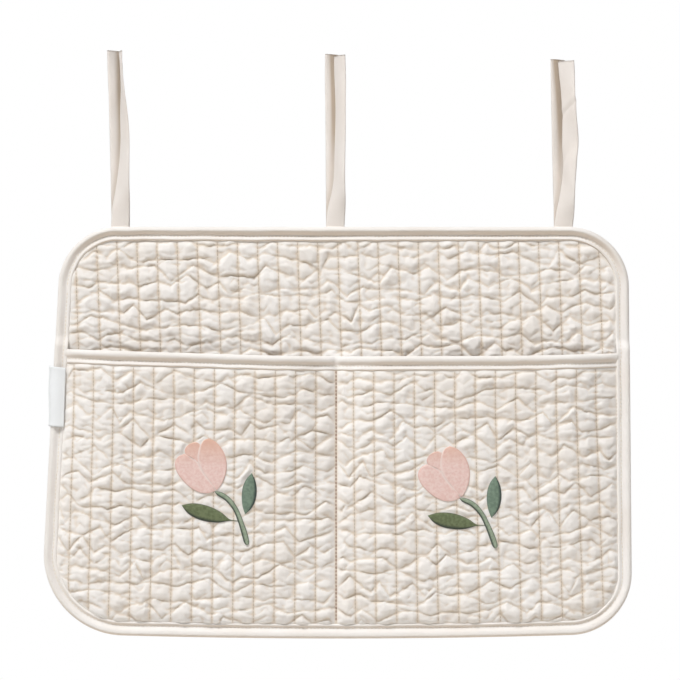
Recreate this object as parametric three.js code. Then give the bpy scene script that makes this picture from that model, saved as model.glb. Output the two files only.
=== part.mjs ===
// A quilted cotton organizer that hangs on a crib rail by three pairs of ties.
// Millimetres, +Z up, the front faces -Y. The origin is the middle of the top edge,
// in the plane of the lining's back.

import * as THREE from 'three';

// Outline of the panel, over the binding. Both sides lean out a little towards the bottom.
const LEFT_TOP_X = -241.2;
const LEFT_BOTTOM_X = -259.7;
const RIGHT_TOP_X = 250.4;
const RIGHT_BOTTOM_X = 253.4;
const PANEL_HEIGHT = 351.5;
const TOP_CORNER_RADIUS = 52;
const BOTTOM_LEFT_RADIUS = 68;
const BOTTOM_RIGHT_RADIUS = 52;
// The cloth hangs down this much more in its middle, below the pocket mouth.
const SAG = 5;

// Clearance between pieces that touch on the real thing.
const GAP = 0.3;

// Quilted cloth: two cotton skins and wadding, pressed flat at the stitch lines.
const SKIN = 0.5;
const WADDING_PRESSED = 0.6;
const CROWN = 2.4;
const CHANNEL_PITCH = 17.4;
const CREST_START = 0.3;
const CREST_END = 0.7;
const SEAM_RAMP = 12;
const MIN_CHANNEL = 1;

// Edge binding: a folded tape with a roll, a stitched groove and a lip.
const BINDING_WIDTH = 11.6;
const BINDING_WEB = 1;
const ROLL_FRONT = 1.5;
const ROLL_BACK = 0.9;
// How far inside its arc a straight piece of the binding may lie at a corner.
const CORNER_SLIP = 0.16;

// Pocket panel: height of its mouth at both sides, its slack and the seam between the pockets.
const MOUTH_LEFT_Z = -105;
const MOUTH_RIGHT_Z = -109;
const MOUTH_WIDTH = 12.2;
const MOUTH_ROLL_BACK = 0.7;
const DIVIDER_X = -3;
const POCKET_SLACK = 10;
const SLACK_RAMP = 45;
const SLACK_AT_BOTTOM = 0.08;

// Sewing thread.
const THREAD = 0.5;
const STITCH_INSET = 2.5;

// Ties: folded cotton tape, caught at its middle on the back of the binding.
const TIE_WIDTH = 16;
const TIE_LEFT_LENGTH = 150.3;
const TIE_MIDDLE_LENGTH = 147;
const TIE_RIGHT_LENGTH = 142.5;
const TIE_THICKNESS = 1.2;
const TIE_LEFT_X = -190.4;
const TIE_MIDDLE_X = -3.8;
const TIE_RIGHT_X = 194.3;
const TIE_ROOT_DEPTH = 8;
const TIE_ROOT_THICKNESS = 1.1;
const TIE_ROOT_RISE = 2.2;
const TIE_ROOT_BEVEL = 1;
const TIE_FRONT_Y = -0.2;
const TIE_BACK_Y = 3.4;

// Side label: a ribbon folded round the left edge.
const LABEL_TOP_Z = -121;
const LABEL_LENGTH = 51;
const LABEL_THICKNESS = 0.4;
const LABEL_SHORT_OF_EDGE = 0.8;
const LABEL_PROUD = 3;
const LABEL_CLEARANCE = 0.5;
const LABEL_BACK_CLEARANCE = 1.1;
const LABEL_BEND = 1.5;

// Embroidered tulips: the place of each bloom's base, and the turn of the second one.
const TULIP_HEIGHT = 90;
const TULIP_THICKNESS = 1;
const TULIP_LEFT_X = -106.2;
const TULIP_LEFT_Z = -224.3;
const TULIP_RIGHT_X = 104.6;
const TULIP_RIGHT_Z = -230.1;
const TULIP_RIGHT_TURN = 4.4;
const STEM_WIDTH = 5;

const INNER = BINDING_WIDTH + 2 * GAP;
const RAW_EDGE = BINDING_WEB + GAP;
const STACK = 2 * SKIN + 2 * GAP + WADDING_PRESSED;
const POCKET_SEAM = STACK + 2 * GAP + MOUTH_ROLL_BACK;
const SLOT_FRONT_TOP = STACK + GAP;
const SLOT_FRONT_POCKET = POCKET_SEAM + STACK + GAP;

const lerp = (a, b, t) => a + (b - a) * t;
const clamp01 = (t) => Math.min(1, Math.max(0, t));

// How far the cloth hangs down at a place on it.
function sagAt(x, z) {
  const halfWidth = (RIGHT_BOTTOM_X - LEFT_BOTTOM_X) / 2;
  const across = Math.max(0, 1 - (x / halfWidth) ** 2);
  return SAG * across * Math.sin((Math.PI / 2) * clamp01(z / MOUTH_LEFT_Z));
}

// Materials

const cotton = () => new THREE.MeshStandardMaterial({ color: 0xeee5da, roughness: 0.95, metalness: 0 });
const wadding = () => new THREE.MeshStandardMaterial({ color: 0xf5f3ee, roughness: 1, metalness: 0 });
const tape = () => new THREE.MeshStandardMaterial({ color: 0xece3d8, roughness: 0.92, metalness: 0 });
const thread = () => new THREE.MeshStandardMaterial({ color: 0xd9c8b0, roughness: 0.8, metalness: 0 });
const ribbon = () => new THREE.MeshStandardMaterial({ color: 0xe8ebeb, roughness: 0.6, metalness: 0 });
const pinkFloss = () => new THREE.MeshStandardMaterial({ color: 0xe8beb2, roughness: 0.6, metalness: 0 });
const leafFloss = () => new THREE.MeshStandardMaterial({ color: 0x647350, roughness: 0.6, metalness: 0 });
const stemFloss = () => new THREE.MeshStandardMaterial({ color: 0x8c9b87, roughness: 0.6, metalness: 0 });

// Geometry helpers

// A closed geometry from its points and triangles, turned so that its faces point out.
function closedGeometry(points, triangles) {
  const hung = points.map(([x, y, z]) => [x, y, z - sagAt(x, z)]);
  let volume = 0;
  for (const [a, b, c] of triangles) {
    const [p, q, r] = [hung[a], hung[b], hung[c]];
    volume += p[0] * (q[1] * r[2] - q[2] * r[1]);
    volume += p[1] * (q[2] * r[0] - q[0] * r[2]);
    volume += p[2] * (q[0] * r[1] - q[1] * r[0]);
  }
  const order = volume > 0 ? triangles : triangles.map(([a, b, c]) => [a, c, b]);
  const geometry = new THREE.BufferGeometry();
  geometry.setAttribute('position', new THREE.Float32BufferAttribute(hung.flat(), 3));
  geometry.setIndex(order.flat());
  geometry.computeVertexNormals();
  return geometry;
}

// Triangles that fill a flat outline, wound as the outline is.
function fill(outline) {
  const area = THREE.ShapeUtils.area(outline);
  return THREE.ShapeUtils.triangulateShape(outline, []).map(([a, b, c]) => {
    const corner = [outline[a], outline[b], outline[c]];
    return THREE.ShapeUtils.area(corner) * area > 0 ? [a, b, c] : [a, c, b];
  });
}

// A skin over a row of sections with the same number of points. A ring joins its last section
// to its first; otherwise both ends are capped, with outline as the sections' flat shape.
function loft(sections, outline) {
  const count = sections[0].length;
  const ring = outline === undefined;
  const points = sections.flat();
  const triangles = [];
  const last = ring ? sections.length : sections.length - 1;
  for (let k = 0; k < last; k += 1) {
    const here = k * count;
    const next = ((k + 1) % sections.length) * count;
    for (let p = 0; p < count; p += 1) {
      const q = (p + 1) % count;
      triangles.push([here + p, next + p, next + q], [here + p, next + q, here + q]);
    }
  }
  if (!ring) {
    const far = (sections.length - 1) * count;
    for (const [a, b, c] of fill(outline)) {
      triangles.push([a, b, c], [far + a, far + c, far + b]);
    }
  }
  return closedGeometry(points, triangles);
}

const flatPoint = ([u, v]) => new THREE.Vector2(u, v);

function addMesh(group, name, geometry, material) {
  const mesh = new THREE.Mesh(geometry, material);
  mesh.name = name;
  group.add(mesh);
  return mesh;
}

// Outline of the panel

const leftLean = Math.atan((LEFT_TOP_X - LEFT_BOTTOM_X) / PANEL_HEIGHT);
const rightLean = Math.atan((RIGHT_BOTTOM_X - RIGHT_TOP_X) / PANEL_HEIGHT);
const leftNormal = [-Math.cos(leftLean), Math.sin(leftLean)];
const rightNormal = [Math.cos(rightLean), Math.sin(rightLean)];

const leftX = (z, inset) => lerp(LEFT_TOP_X, LEFT_BOTTOM_X, -z / PANEL_HEIGHT) + inset / Math.cos(leftLean);
const rightX = (z, inset) => lerp(RIGHT_TOP_X, RIGHT_BOTTOM_X, -z / PANEL_HEIGHT) - inset / Math.cos(rightLean);

// A rounded corner of the outline: its radius and the centre of its arc.
const rounded = (sideX, radius, z) => ({ radius, centre: [sideX(z, radius), z] });
const corners = {
  topLeft: rounded(leftX, TOP_CORNER_RADIUS, -TOP_CORNER_RADIUS),
  topRight: rounded(rightX, TOP_CORNER_RADIUS, -TOP_CORNER_RADIUS),
  bottomLeft: rounded(leftX, BOTTOM_LEFT_RADIUS, BOTTOM_LEFT_RADIUS - PANEL_HEIGHT),
  bottomRight: rounded(rightX, BOTTOM_RIGHT_RADIUS, BOTTOM_RIGHT_RADIUS - PANEL_HEIGHT),
};

// Height of the inset outline's top (side 1) or bottom (side -1) at x, and the direction out there.
function edgeAt(x, inset, side) {
  const [left, right] = side > 0
    ? [corners.topLeft, corners.topRight]
    : [corners.bottomLeft, corners.bottomRight];
  if (x >= left.centre[0] && x <= right.centre[0]) {
    return { z: side > 0 ? -inset : inset - PANEL_HEIGHT, normal: [0, side] };
  }
  const corner = x < left.centre[0] ? left : right;
  const radius = corner.radius - inset;
  const across = x - corner.centre[0];
  const up = side * Math.sqrt(Math.max(0, radius * radius - across * across));
  return { z: corner.centre[1] + up, normal: [across / radius, up / radius] };
}

const mouthZ = (x) => lerp(MOUTH_LEFT_Z, MOUTH_RIGHT_Z, (x - LEFT_TOP_X) / (RIGHT_TOP_X - LEFT_TOP_X));

// Quilting grid

const narrowestLeft = leftX(-TOP_CORNER_RADIUS, INNER);
const narrowestRight = rightX(-TOP_CORNER_RADIUS, INNER);
const firstLine = Math.ceil((narrowestLeft + MIN_CHANNEL - DIVIDER_X) / CHANNEL_PITCH);
const lastLine = Math.floor((narrowestRight - MIN_CHANNEL - DIVIDER_X) / CHANNEL_PITCH);
const lineX = (k) => DIVIDER_X + k * CHANNEL_PITCH;

// The grid's columns from left to right: stitch lines, and two crest lines in each channel.
// An outer channel reaches from its stitch line to the inner edge of the binding.
function quiltColumns() {
  const columns = [{ side: 'left', share: 0, rise: 0 }];
  columns.push({ side: 'left', share: CREST_START, rise: 1 }, { side: 'left', share: CREST_END, rise: 1 });
  for (let k = firstLine; k <= lastLine; k += 1) {
    columns.push({ line: k, share: 0, rise: 0 });
    if (k < lastLine) {
      columns.push({ line: k, share: CREST_START, rise: 1 }, { line: k, share: CREST_END, rise: 1 });
    }
  }
  columns.push({ side: 'right', share: CREST_START, rise: 1 }, { side: 'right', share: CREST_END, rise: 1 });
  columns.push({ side: 'right', share: 1, rise: 0 });
  return columns;
}

// Both ends of the channel that a column lies in, at a height.
function channelEnds(column, z) {
  if (column.side === 'left') return [leftX(z, INNER), lineX(firstLine)];
  if (column.side === 'right') return [lineX(lastLine), rightX(z, INNER)];
  return [lineX(column.line), lineX(column.line + 1)];
}

// How full a channel is: a narrow one at the side puffs up less.
function fullness(column, z) {
  const [start, end] = channelEnds(column, z);
  return column.side === undefined ? 1 : clamp01((end - start) / CHANNEL_PITCH);
}

// One point of the grid. A row's place gives its height from the sheet's top and bottom there.
function gridPoint(column, row, topAt) {
  const onRight = column.side === 'right';
  const lean = onRight ? rightNormal : leftNormal;
  const topCorner = onRight ? corners.topRight : corners.topLeft;
  const bottomCorner = onRight ? corners.bottomRight : corners.bottomLeft;
  const tangent = (corner) => corner.centre[1] + (corner.radius - INNER) * lean[1];
  const tangentTop = Math.min(tangent(topCorner), topAt(onRight ? Infinity : -Infinity));
  const tangentBottom = tangent(bottomCorner);
  const edgeZ = row.place(tangentTop, tangentBottom);
  const [start, end] = channelEnds(column, edgeZ);
  const x = lerp(start, end, column.share);
  const onEdge = (column.side === 'left' && column.share === 0) || (column.side === 'right' && column.share === 1);
  if (onEdge) return { x, z: edgeZ, normal: lean };
  const top = Math.min(edgeAt(x, INNER, 1).z, topAt(x));
  const bottom = edgeAt(x, INNER, -1);
  const lowest = row.place(top, bottom.z) === bottom.z;
  const normal = lowest ? bottom.normal : edgeAt(x, INNER, 1).normal;
  return { x, z: row.place(top, bottom.z), normal };
}

// The slack of the pockets at a column: none at the sides and the divider, full between them.
function slackAtLine(x) {
  const z = (MOUTH_LEFT_Z - PANEL_HEIGHT) / 2;
  const [start, end] = x < DIVIDER_X ? [leftX(z, INNER), DIVIDER_X] : [DIVIDER_X, rightX(z, INNER)];
  const t = clamp01(Math.min(x - start, end - x) / SLACK_RAMP);
  return t * t * (3 - 2 * t);
}

function slackAt(column) {
  if (column.side === 'left') return column.share * slackAtLine(lineX(firstLine));
  if (column.side === 'right') return (1 - column.share) * slackAtLine(lineX(lastLine));
  return lerp(slackAtLine(lineX(column.line)), slackAtLine(lineX(column.line + 1)), column.share);
}

// The room that the pocket panel leaves for the crowns behind it.
function roomAt(column, z) {
  const atDivider = column.line === 0 && column.share === 0;
  const atSide = (column.side === 'left' && column.share === 0) || (column.side === 'right' && column.share === 1);
  if (atDivider || atSide) return 0;
  const outerLeft = column.side === 'left' || (column.line === firstLine && column.share === 0);
  if (outerLeft) return fullness({ side: 'left' }, z);
  return column.side === 'right' ? fullness(column, z) : 1;
}

// Distance of the pocket panel's back from the lining's back, towards the front.
function pocketBase(column, row, z) {
  return POCKET_SEAM + CROWN * roomAt(column, z) * row.room + POCKET_SLACK * slackAt(column) * row.slack;
}

const backRows = [
  { place: (top) => top, rise: 0 },
  { place: (top) => top - SEAM_RAMP, rise: 1 },
  { place: (top, bottom) => bottom + SEAM_RAMP, rise: 1 },
  { place: (top, bottom) => bottom, rise: 0 },
];

const pocketRows = [
  { place: (top) => top, rise: 0, room: 1, slack: 1 },
  { place: (top) => top - MOUTH_WIDTH, rise: 0, room: 1, slack: 1 },
  { place: (top) => top - MOUTH_WIDTH - SEAM_RAMP, rise: 1, room: 1, slack: 1 },
  { place: (top, bottom) => bottom + SEAM_RAMP, rise: 1, room: 1, slack: SLACK_AT_BOTTOM },
  { place: (top, bottom) => bottom, rise: 0, room: 0, slack: 0 },
];

// A sheet of cloth on the grid: its inside is the grid, and a flat hem reaches into the binding.
// front and back give the distances of its two faces from the lining's back.
function clothSheet({ columns, rows, topAt, openTop, front, back }) {
  const points = [];
  const triangles = [];
  const grid = rows.map((row) => columns.map((column) => gridPoint(column, row, topAt)));
  const across = columns.length;
  const down = rows.length;
  const layer = down * across;
  for (const depth of [front, back]) {
    rows.forEach((row, j) => columns.forEach((column, i) => {
      const { x, z } = grid[j][i];
      points.push([x, -depth(column, row, z), z]);
    }));
  }
  for (let j = 0; j + 1 < down; j += 1) {
    for (let i = 0; i + 1 < across; i += 1) {
      const [a, b, c, d] = [j * across + i, (j + 1) * across + i, (j + 1) * across + i + 1, j * across + i + 1];
      triangles.push([a, b, c], [a, c, d]);
      triangles.push([layer + a, layer + c, layer + b], [layer + a, layer + d, layer + c]);
    }
  }
  const seam = [];
  for (let j = 0; j < down; j += 1) seam.push([j, 0]);
  for (let i = 1; i < across; i += 1) seam.push([down - 1, i]);
  for (let j = down - 2; j >= 0; j -= 1) seam.push([j, across - 1]);
  const mouth = [];
  for (let i = across - 2; i > 0; i -= 1) (openTop ? mouth : seam).push([0, i]);
  const hem = seam.map(([j, i]) => {
    const { x, z, normal } = grid[j][i];
    const hemFront = points.length;
    const place = [x + normal[0] * (INNER - RAW_EDGE), z + normal[1] * (INNER - RAW_EDGE)];
    const inside = j * across + i;
    points.push([place[0], points[inside][1], place[1]], [place[0], points[layer + inside][1], place[1]]);
    return { inside, front: hemFront, back: hemFront + 1 };
  });
  const strips = openTop ? hem.length - 1 : hem.length;
  for (let k = 0; k < strips; k += 1) {
    const [here, next] = [hem[k], hem[(k + 1) % hem.length]];
    triangles.push([here.front, next.front, next.inside], [here.front, next.inside, here.inside]);
    triangles.push([here.back, layer + next.inside, next.back], [here.back, layer + here.inside, layer + next.inside]);
  }
  const rim = hem.map((point) => [point.front, point.back]);
  if (openTop) {
    for (const [j, i] of [[0, across - 1], ...mouth, [0, 0]]) rim.push([j * across + i, layer + j * across + i]);
  }
  rim.forEach(([f, b], k) => {
    const [nextFront, nextBack] = rim[(k + 1) % rim.length];
    triangles.push([f, b, nextBack], [f, nextBack, nextFront]);
  });
  return closedGeometry(points, triangles);
}

const openSky = () => Infinity;
const pocketTop = (x) => {
  const inside = Math.min(RIGHT_TOP_X, Math.max(LEFT_TOP_X, x));
  return mouthZ(inside) - RAW_EDGE;
};

function backLayer(back, front, crowned) {
  const columns = quiltColumns().filter((column) => crowned !== 0 || column.rise === 0);
  const lift = (column, row, z) => crowned * CROWN * column.rise * row.rise * fullness(column, z);
  return clothSheet({
    columns,
    rows: crowned ? backRows : [backRows[0], backRows[3]],
    topAt: openSky,
    openTop: false,
    front: (column, row, z) => front + lift(column, row, z),
    back: (column, row, z) => back + (back > STACK / 2 ? lift(column, row, z) : 0),
  });
}

function pocketLayer(back, front, backCrowned, frontCrowned) {
  const lift = (column, row, z) => CROWN * column.rise * row.rise * fullness(column, z);
  return clothSheet({
    columns: quiltColumns(),
    rows: pocketRows,
    topAt: pocketTop,
    openTop: true,
    front: (column, row, z) => pocketBase(column, row, z) + front + (frontCrowned ? lift(column, row, z) : 0),
    back: (column, row, z) => pocketBase(column, row, z) + back + (backCrowned ? lift(column, row, z) : 0),
  });
}

// Bindings

// The folded tape's section: [distance in from the fold, distance towards the front], round the
// slot that holds the cloth between slotBack and slotFront.
function tapeSection(width, slotBack, slotFront, rollBack, rollFront) {
  return [
    [width, slotBack],
    [width, slotBack - 0.6 * rollBack],
    [0.5 * width, slotBack - rollBack],
    [1.5 * BINDING_WEB, slotBack - 0.7 * rollBack],
    [0, slotBack],
    [0, slotFront],
    [1.5 * BINDING_WEB, slotFront + 0.8 * rollFront],
    [0.45 * width, slotFront + rollFront],
    [width - STITCH_INSET - 1, slotFront + 0.8 * rollFront],
    [width - STITCH_INSET, slotFront + 0.5 * rollFront],
    [width - 0.5 * STITCH_INSET, slotFront + 0.7 * rollFront],
    [width, slotFront + 0.4 * rollFront],
    [width, slotFront],
    [BINDING_WEB, slotFront],
    [BINDING_WEB, slotBack],
  ];
}

// The slot is deep where the pocket panel is sewn in, and thin above the pocket mouth.
function slotFrontAt(x, z) {
  const start = mouthZ(x) + BINDING_WIDTH + GAP;
  const t = clamp01((start - z) / (BINDING_WIDTH - 2));
  return lerp(SLOT_FRONT_TOP, SLOT_FRONT_POCKET, t);
}

// Stations round the outline: a place on it and the direction out, clockwise from the top left.
function outlineStations() {
  const stations = [];
  const straight = (from, to, count, normal) => {
    for (let k = 0; k < count; k += 1) {
      stations.push({ place: [lerp(from[0], to[0], k / count), lerp(from[1], to[1], k / count)], normal });
    }
  };
  const onCorner = ({ centre, radius }, normal) => [centre[0] + radius * normal[0], centre[1] + radius * normal[1]];
  const arc = (corner, startNormal, endNormal) => {
    const start = Math.atan2(startNormal[1], startNormal[0]);
    const turn = (Math.atan2(endNormal[1], endNormal[0]) - start - 2 * Math.PI) % (2 * Math.PI);
    const count = Math.ceil(Math.abs(turn) / (2 * Math.acos(1 - CORNER_SLIP / corner.radius)));
    for (let k = 0; k < count; k += 1) {
      const angle = start + (turn * k) / count;
      const normal = [Math.cos(angle), Math.sin(angle)];
      stations.push({ place: onCorner(corner, normal), normal });
    }
  };
  const up = [0, 1];
  const down = [0, -1];
  const rightMouth = mouthZ(RIGHT_TOP_X) + BINDING_WIDTH + GAP;
  const leftMouth = mouthZ(LEFT_TOP_X) + BINDING_WIDTH + GAP;
  const step = BINDING_WIDTH - 2;
  const rightPlaces = [rightMouth, rightMouth - step].map((z) => [rightX(z, 0), z]);
  const leftPlaces = [leftMouth - step, leftMouth].map((z) => [leftX(z, 0), z]);
  straight(onCorner(corners.topLeft, up), onCorner(corners.topRight, up), 5, up);
  arc(corners.topRight, up, rightNormal);
  straight(onCorner(corners.topRight, rightNormal), rightPlaces[0], 1, rightNormal);
  straight(rightPlaces[0], rightPlaces[1], 1, rightNormal);
  straight(rightPlaces[1], onCorner(corners.bottomRight, rightNormal), 3, rightNormal);
  arc(corners.bottomRight, rightNormal, down);
  straight(onCorner(corners.bottomRight, down), onCorner(corners.bottomLeft, down), 10, down);
  arc(corners.bottomLeft, down, leftNormal);
  straight(onCorner(corners.bottomLeft, leftNormal), leftPlaces[0], 3, leftNormal);
  straight(leftPlaces[0], leftPlaces[1], 1, leftNormal);
  straight(leftPlaces[1], onCorner(corners.topLeft, leftNormal), 1, leftNormal);
  arc(corners.topLeft, leftNormal, up);
  return stations;
}

// A section's points set on a station of the outline.
function onStation({ place, normal }, section) {
  return section.map(([inset, depth]) => [place[0] - normal[0] * inset, -depth, place[1] - normal[1] * inset]);
}

function edgeBinding() {
  return loft(outlineStations().map((station) => {
    const slotFront = slotFrontAt(...station.place);
    return onStation(station, tapeSection(BINDING_WIDTH, -GAP, slotFront, ROLL_BACK, ROLL_FRONT));
  }));
}

// A thread's square section round a place.
function threadSection(inset, depth) {
  const half = THREAD / 2;
  return [[inset - half, depth - half], [inset + half, depth - half], [inset + half, depth + half], [inset - half, depth + half]];
}

function edgeTopstitch(side) {
  const inset = BINDING_WIDTH - STITCH_INSET;
  return loft(outlineStations().map((station) => {
    const onRoll = 0.5 * ROLL_FRONT + GAP + THREAD / 2;
    const frontDepth = slotFrontAt(...station.place) + onRoll;
    const backDepth = -GAP - ROLL_BACK - GAP - THREAD / 2;
    return onStation(station, threadSection(inset, side === 'front' ? frontDepth : backDepth));
  }));
}

// Stations along the pocket mouth, where the slack or the room for the crowns changes.
function mouthStations() {
  const row = pocketRows[0];
  const placed = quiltColumns().map((column) => {
    const { x, z } = gridPoint(column, row, pocketTop);
    return { x, depth: pocketBase(column, row, z) };
  });
  const kept = placed.filter(({ x, depth }, i) => {
    if (i === 0 || i === placed.length - 1) return true;
    const [before, after] = [placed[i - 1], placed[i + 1]];
    const straight = lerp(before.depth, after.depth, (x - before.x) / (after.x - before.x));
    return Math.abs(straight - depth) > 1e-6;
  });
  return kept;
}

// A section set on the pocket mouth. Its ends stop short of the edge binding.
function onMouth({ x, depth }, index, count, section) {
  return section.map(([drop, forward]) => {
    const z = mouthZ(x) - drop;
    const reach = BINDING_WIDTH + GAP;
    const placeX = index === 0 ? leftX(z, reach) : index === count - 1 ? rightX(z, reach) : x;
    return [placeX, -(depth + forward), z];
  });
}

function pocketBinding() {
  const section = tapeSection(MOUTH_WIDTH, -GAP, STACK + GAP, MOUTH_ROLL_BACK, ROLL_FRONT);
  const stations = mouthStations();
  const sections = stations.map((station, k) => onMouth(station, k, stations.length, section));
  return loft(sections, section.map(flatPoint));
}

function pocketTopstitch() {
  const depth = STACK + GAP + 0.5 * ROLL_FRONT + GAP + THREAD / 2;
  const section = threadSection(MOUTH_WIDTH - STITCH_INSET, depth);
  const stations = mouthStations();
  const sections = stations.map((station, k) => onMouth(station, k, stations.length, section));
  return loft(sections, section.map(flatPoint));
}

// The seam between the pockets: one run of thread on the front, one on the back.
function dividerSeam(side) {
  const front = POCKET_SEAM + STACK + GAP + THREAD / 2;
  const depth = side === 'front' ? front : -GAP - THREAD / 2;
  const section = threadSection(0, depth);
  const top = mouthZ(DIVIDER_X) - MOUTH_WIDTH - GAP;
  const bottom = edgeAt(DIVIDER_X, INNER, -1).z;
  const sections = [top, bottom].map((z) => section.map(([across, forward]) => [DIVIDER_X + across, -forward, z]));
  return loft(sections, section.map(flatPoint));
}

// Ties

// The sewn middle of a tie: a tab on the back of the binding, folded over its top.
function tieRoot(centreX) {
  const back = GAP + ROLL_BACK + GAP;
  const profile = [
    [back, -TIE_ROOT_DEPTH],
    [back + TIE_ROOT_THICKNESS, -TIE_ROOT_DEPTH],
    [back + TIE_ROOT_THICKNESS, TIE_ROOT_RISE],
    [TIE_FRONT_Y, TIE_ROOT_RISE],
    [TIE_FRONT_Y - TIE_THICKNESS / 2, TIE_ROOT_RISE - TIE_ROOT_BEVEL],
    [TIE_FRONT_Y - TIE_THICKNESS / 2, GAP],
    [back, GAP],
  ];
  const ends = [centreX - TIE_WIDTH / 2, centreX + TIE_WIDTH / 2];
  return loft(ends.map((x) => profile.map(([y, z]) => [x, y, z])), profile.map(flatPoint));
}

// A loose tail: rows give its height as a share of its length, how far its middle wanders sideways
// as a share of its width, and its twist in degrees. A front tail stays in front of the place of its
// root, and a back tail behind it.
function tieTail(centreX, side, length, rows) {
  const base = TIE_ROOT_RISE + GAP;
  const steps = 12;
  const sized = rows.map(([up, aside, twist]) => new THREE.Vector3(up * length, aside * TIE_WIDTH, twist));
  const curve = new THREE.CatmullRomCurve3(sized, false, 'centripetal');
  const sections = [];
  for (let k = 0; k <= steps; k += 1) {
    const { x: height, y: sideways, z: twist } = curve.getPoint(k / steps);
    const angle = THREE.MathUtils.degToRad(twist);
    const swing = (TIE_WIDTH / 2) * Math.sin(angle);
    const middleY = side === 'front' ? TIE_FRONT_Y - swing : TIE_BACK_Y + swing;
    const along = [Math.cos(angle) * (TIE_WIDTH / 2), Math.sin(angle) * (TIE_WIDTH / 2)];
    const through = [-Math.sin(angle) * (TIE_THICKNESS / 2), Math.cos(angle) * (TIE_THICKNESS / 2)];
    const section = [[-1, -1], [1, -1], [1, 1], [-1, 1]].map(([s, t]) => [
      centreX + sideways + s * along[0] + t * through[0],
      middleY + s * along[1] + t * through[1],
      base + height,
    ]);
    sections.push(section);
  }
  return loft(sections, sections[0].map(([x, y]) => new THREE.Vector2(x, y)));
}

const ties = [
  {
    name: 'left',
    centreX: TIE_LEFT_X,
    length: TIE_LEFT_LENGTH,
    front: [[0, 0, 0], [0.067, 0.03, 8], [0.226, 0.14, 38], [0.486, 0.28, 57], [0.745, 0.175, 71], [1, 0.045, 82]],
    back: [[0, 0, 0], [0.067, 0, 4], [0.226, -0.04, 15], [0.486, -0.125, 30], [0.745, -0.225, 40], [1, -0.34, 47]],
  },
  {
    name: 'middle',
    centreX: TIE_MIDDLE_X,
    length: TIE_MIDDLE_LENGTH,
    front: [[0, 0, 0], [0.068, 0.04, 8], [0.204, 0.15, 40], [0.442, 0.225, 54], [0.633, 0.26, 58], [1, 0.22, 55]],
    back: [[0, 0, 0], [0.068, 0, 3], [0.395, -0.02, 12], [1, -0.1, 32]],
  },
  {
    name: 'right',
    centreX: TIE_RIGHT_X,
    length: TIE_RIGHT_LENGTH,
    front: [
      [0, 0, 0],
      [0.056, 0.05, 10],
      [0.154, 0.13, 33],
      [0.337, 0.255, 40],
      [0.533, 0.33, 34],
      [0.66, 0.275, 42],
      [1, 0.095, 36],
    ],
    back: [[0, 0, 0], [0.07, 0, 4], [0.512, -0.125, 25], [1, -0.225, 32]],
  },
];

// Side label

function sideLabel() {
  const front = SLOT_FRONT_POCKET + ROLL_FRONT + LABEL_CLEARANCE;
  const back = -GAP - ROLL_BACK - LABEL_BACK_CLEARANCE;
  const middle = (front + back) / 2;
  const reach = BINDING_WIDTH - LABEL_SHORT_OF_EDGE;
  const bend = LABEL_BEND;
  const inside = [
    [reach, front],
    [bend, front],
    [bend - LABEL_PROUD, front - bend],
    [-LABEL_PROUD + LABEL_THICKNESS, middle],
    [bend - LABEL_PROUD, back + bend],
    [bend, back],
    [reach, back],
  ];
  const away = LABEL_THICKNESS;
  const outside = [
    [reach, front + away],
    [bend, front + away],
    [bend - LABEL_PROUD - 0.7 * away, front - bend + 0.7 * away],
    [-LABEL_PROUD, middle],
    [bend - LABEL_PROUD - 0.7 * away, back + bend - 0.7 * away],
    [bend, back - away],
    [reach, back - away],
  ];
  const section = [...inside, ...outside.reverse()];
  const ends = [LABEL_TOP_Z, LABEL_TOP_Z - LABEL_LENGTH];
  const sections = ends.map((z) => onStation({ place: [leftX(z, 0), z], normal: leftNormal }, section));
  return loft(sections, section.map(flatPoint));
}

// Embroidery: outlines round the base of the bloom, [across, up], as drawn for a tulip of this height.
const DRAWN_HEIGHT = 90;

function bloomOutline() {
  const shape = new THREE.Shape();
  shape.moveTo(-35.3, 24);
  shape.bezierCurveTo(-34.5, 29.5, -30, 31.5, -27.1, 32.2);
  shape.bezierCurveTo(-26.5, 38, -20.5, 42.5, -14, 41.7);
  shape.bezierCurveTo(-10.5, 46.5, -4, 47.5, 0, 41.9);
  shape.bezierCurveTo(6, 37, 9.5, 30, 9.1, 23.3);
  shape.bezierCurveTo(8.7, 13, 5, 4.5, 0, 0.5);
  shape.bezierCurveTo(-5, -2, -13, -2.2, -20.2, 1.6);
  shape.bezierCurveTo(-28, 6.5, -35.8, 15.5, -35.3, 24);
  return shape.getPoints(4);
}

function lowLeafOutline() {
  const shape = new THREE.Shape();
  shape.moveTo(-29.8, -12.4);
  shape.bezierCurveTo(-19, -8.8, -1, -11.5, 13.6, -24.6);
  shape.bezierCurveTo(0, -28.5, -20, -25, -29.8, -12.4);
  return shape.getPoints(7);
}

function highLeafOutline() {
  const shape = new THREE.Shape();
  shape.moveTo(30.8, 16.3);
  shape.bezierCurveTo(36.5, 7, 36.2, -9.5, 24.8, -19.4);
  shape.bezierCurveTo(20.5, -11, 20.8, 7.5, 30.8, 16.3);
  return shape.getPoints(7);
}

function stemOutline() {
  const line = new THREE.CubicBezierCurve(
    new THREE.Vector2(1.6, -2.2),
    new THREE.Vector2(12, -6.5),
    new THREE.Vector2(20.5, -20),
    new THREE.Vector2(26, -44.5),
  );
  const steps = 8;
  const sides = [1, -1].map((side) => {
    const points = [];
    for (let k = 0; k <= steps; k += 1) {
      const along = line.getTangent(k / steps);
      const across = new THREE.Vector2(-along.y, along.x).multiplyScalar((side * STEM_WIDTH) / 2);
      points.push(line.getPoint(k / steps).add(across));
    }
    return points;
  });
  return [...sides[0], ...sides[1].reverse()];
}

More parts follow.
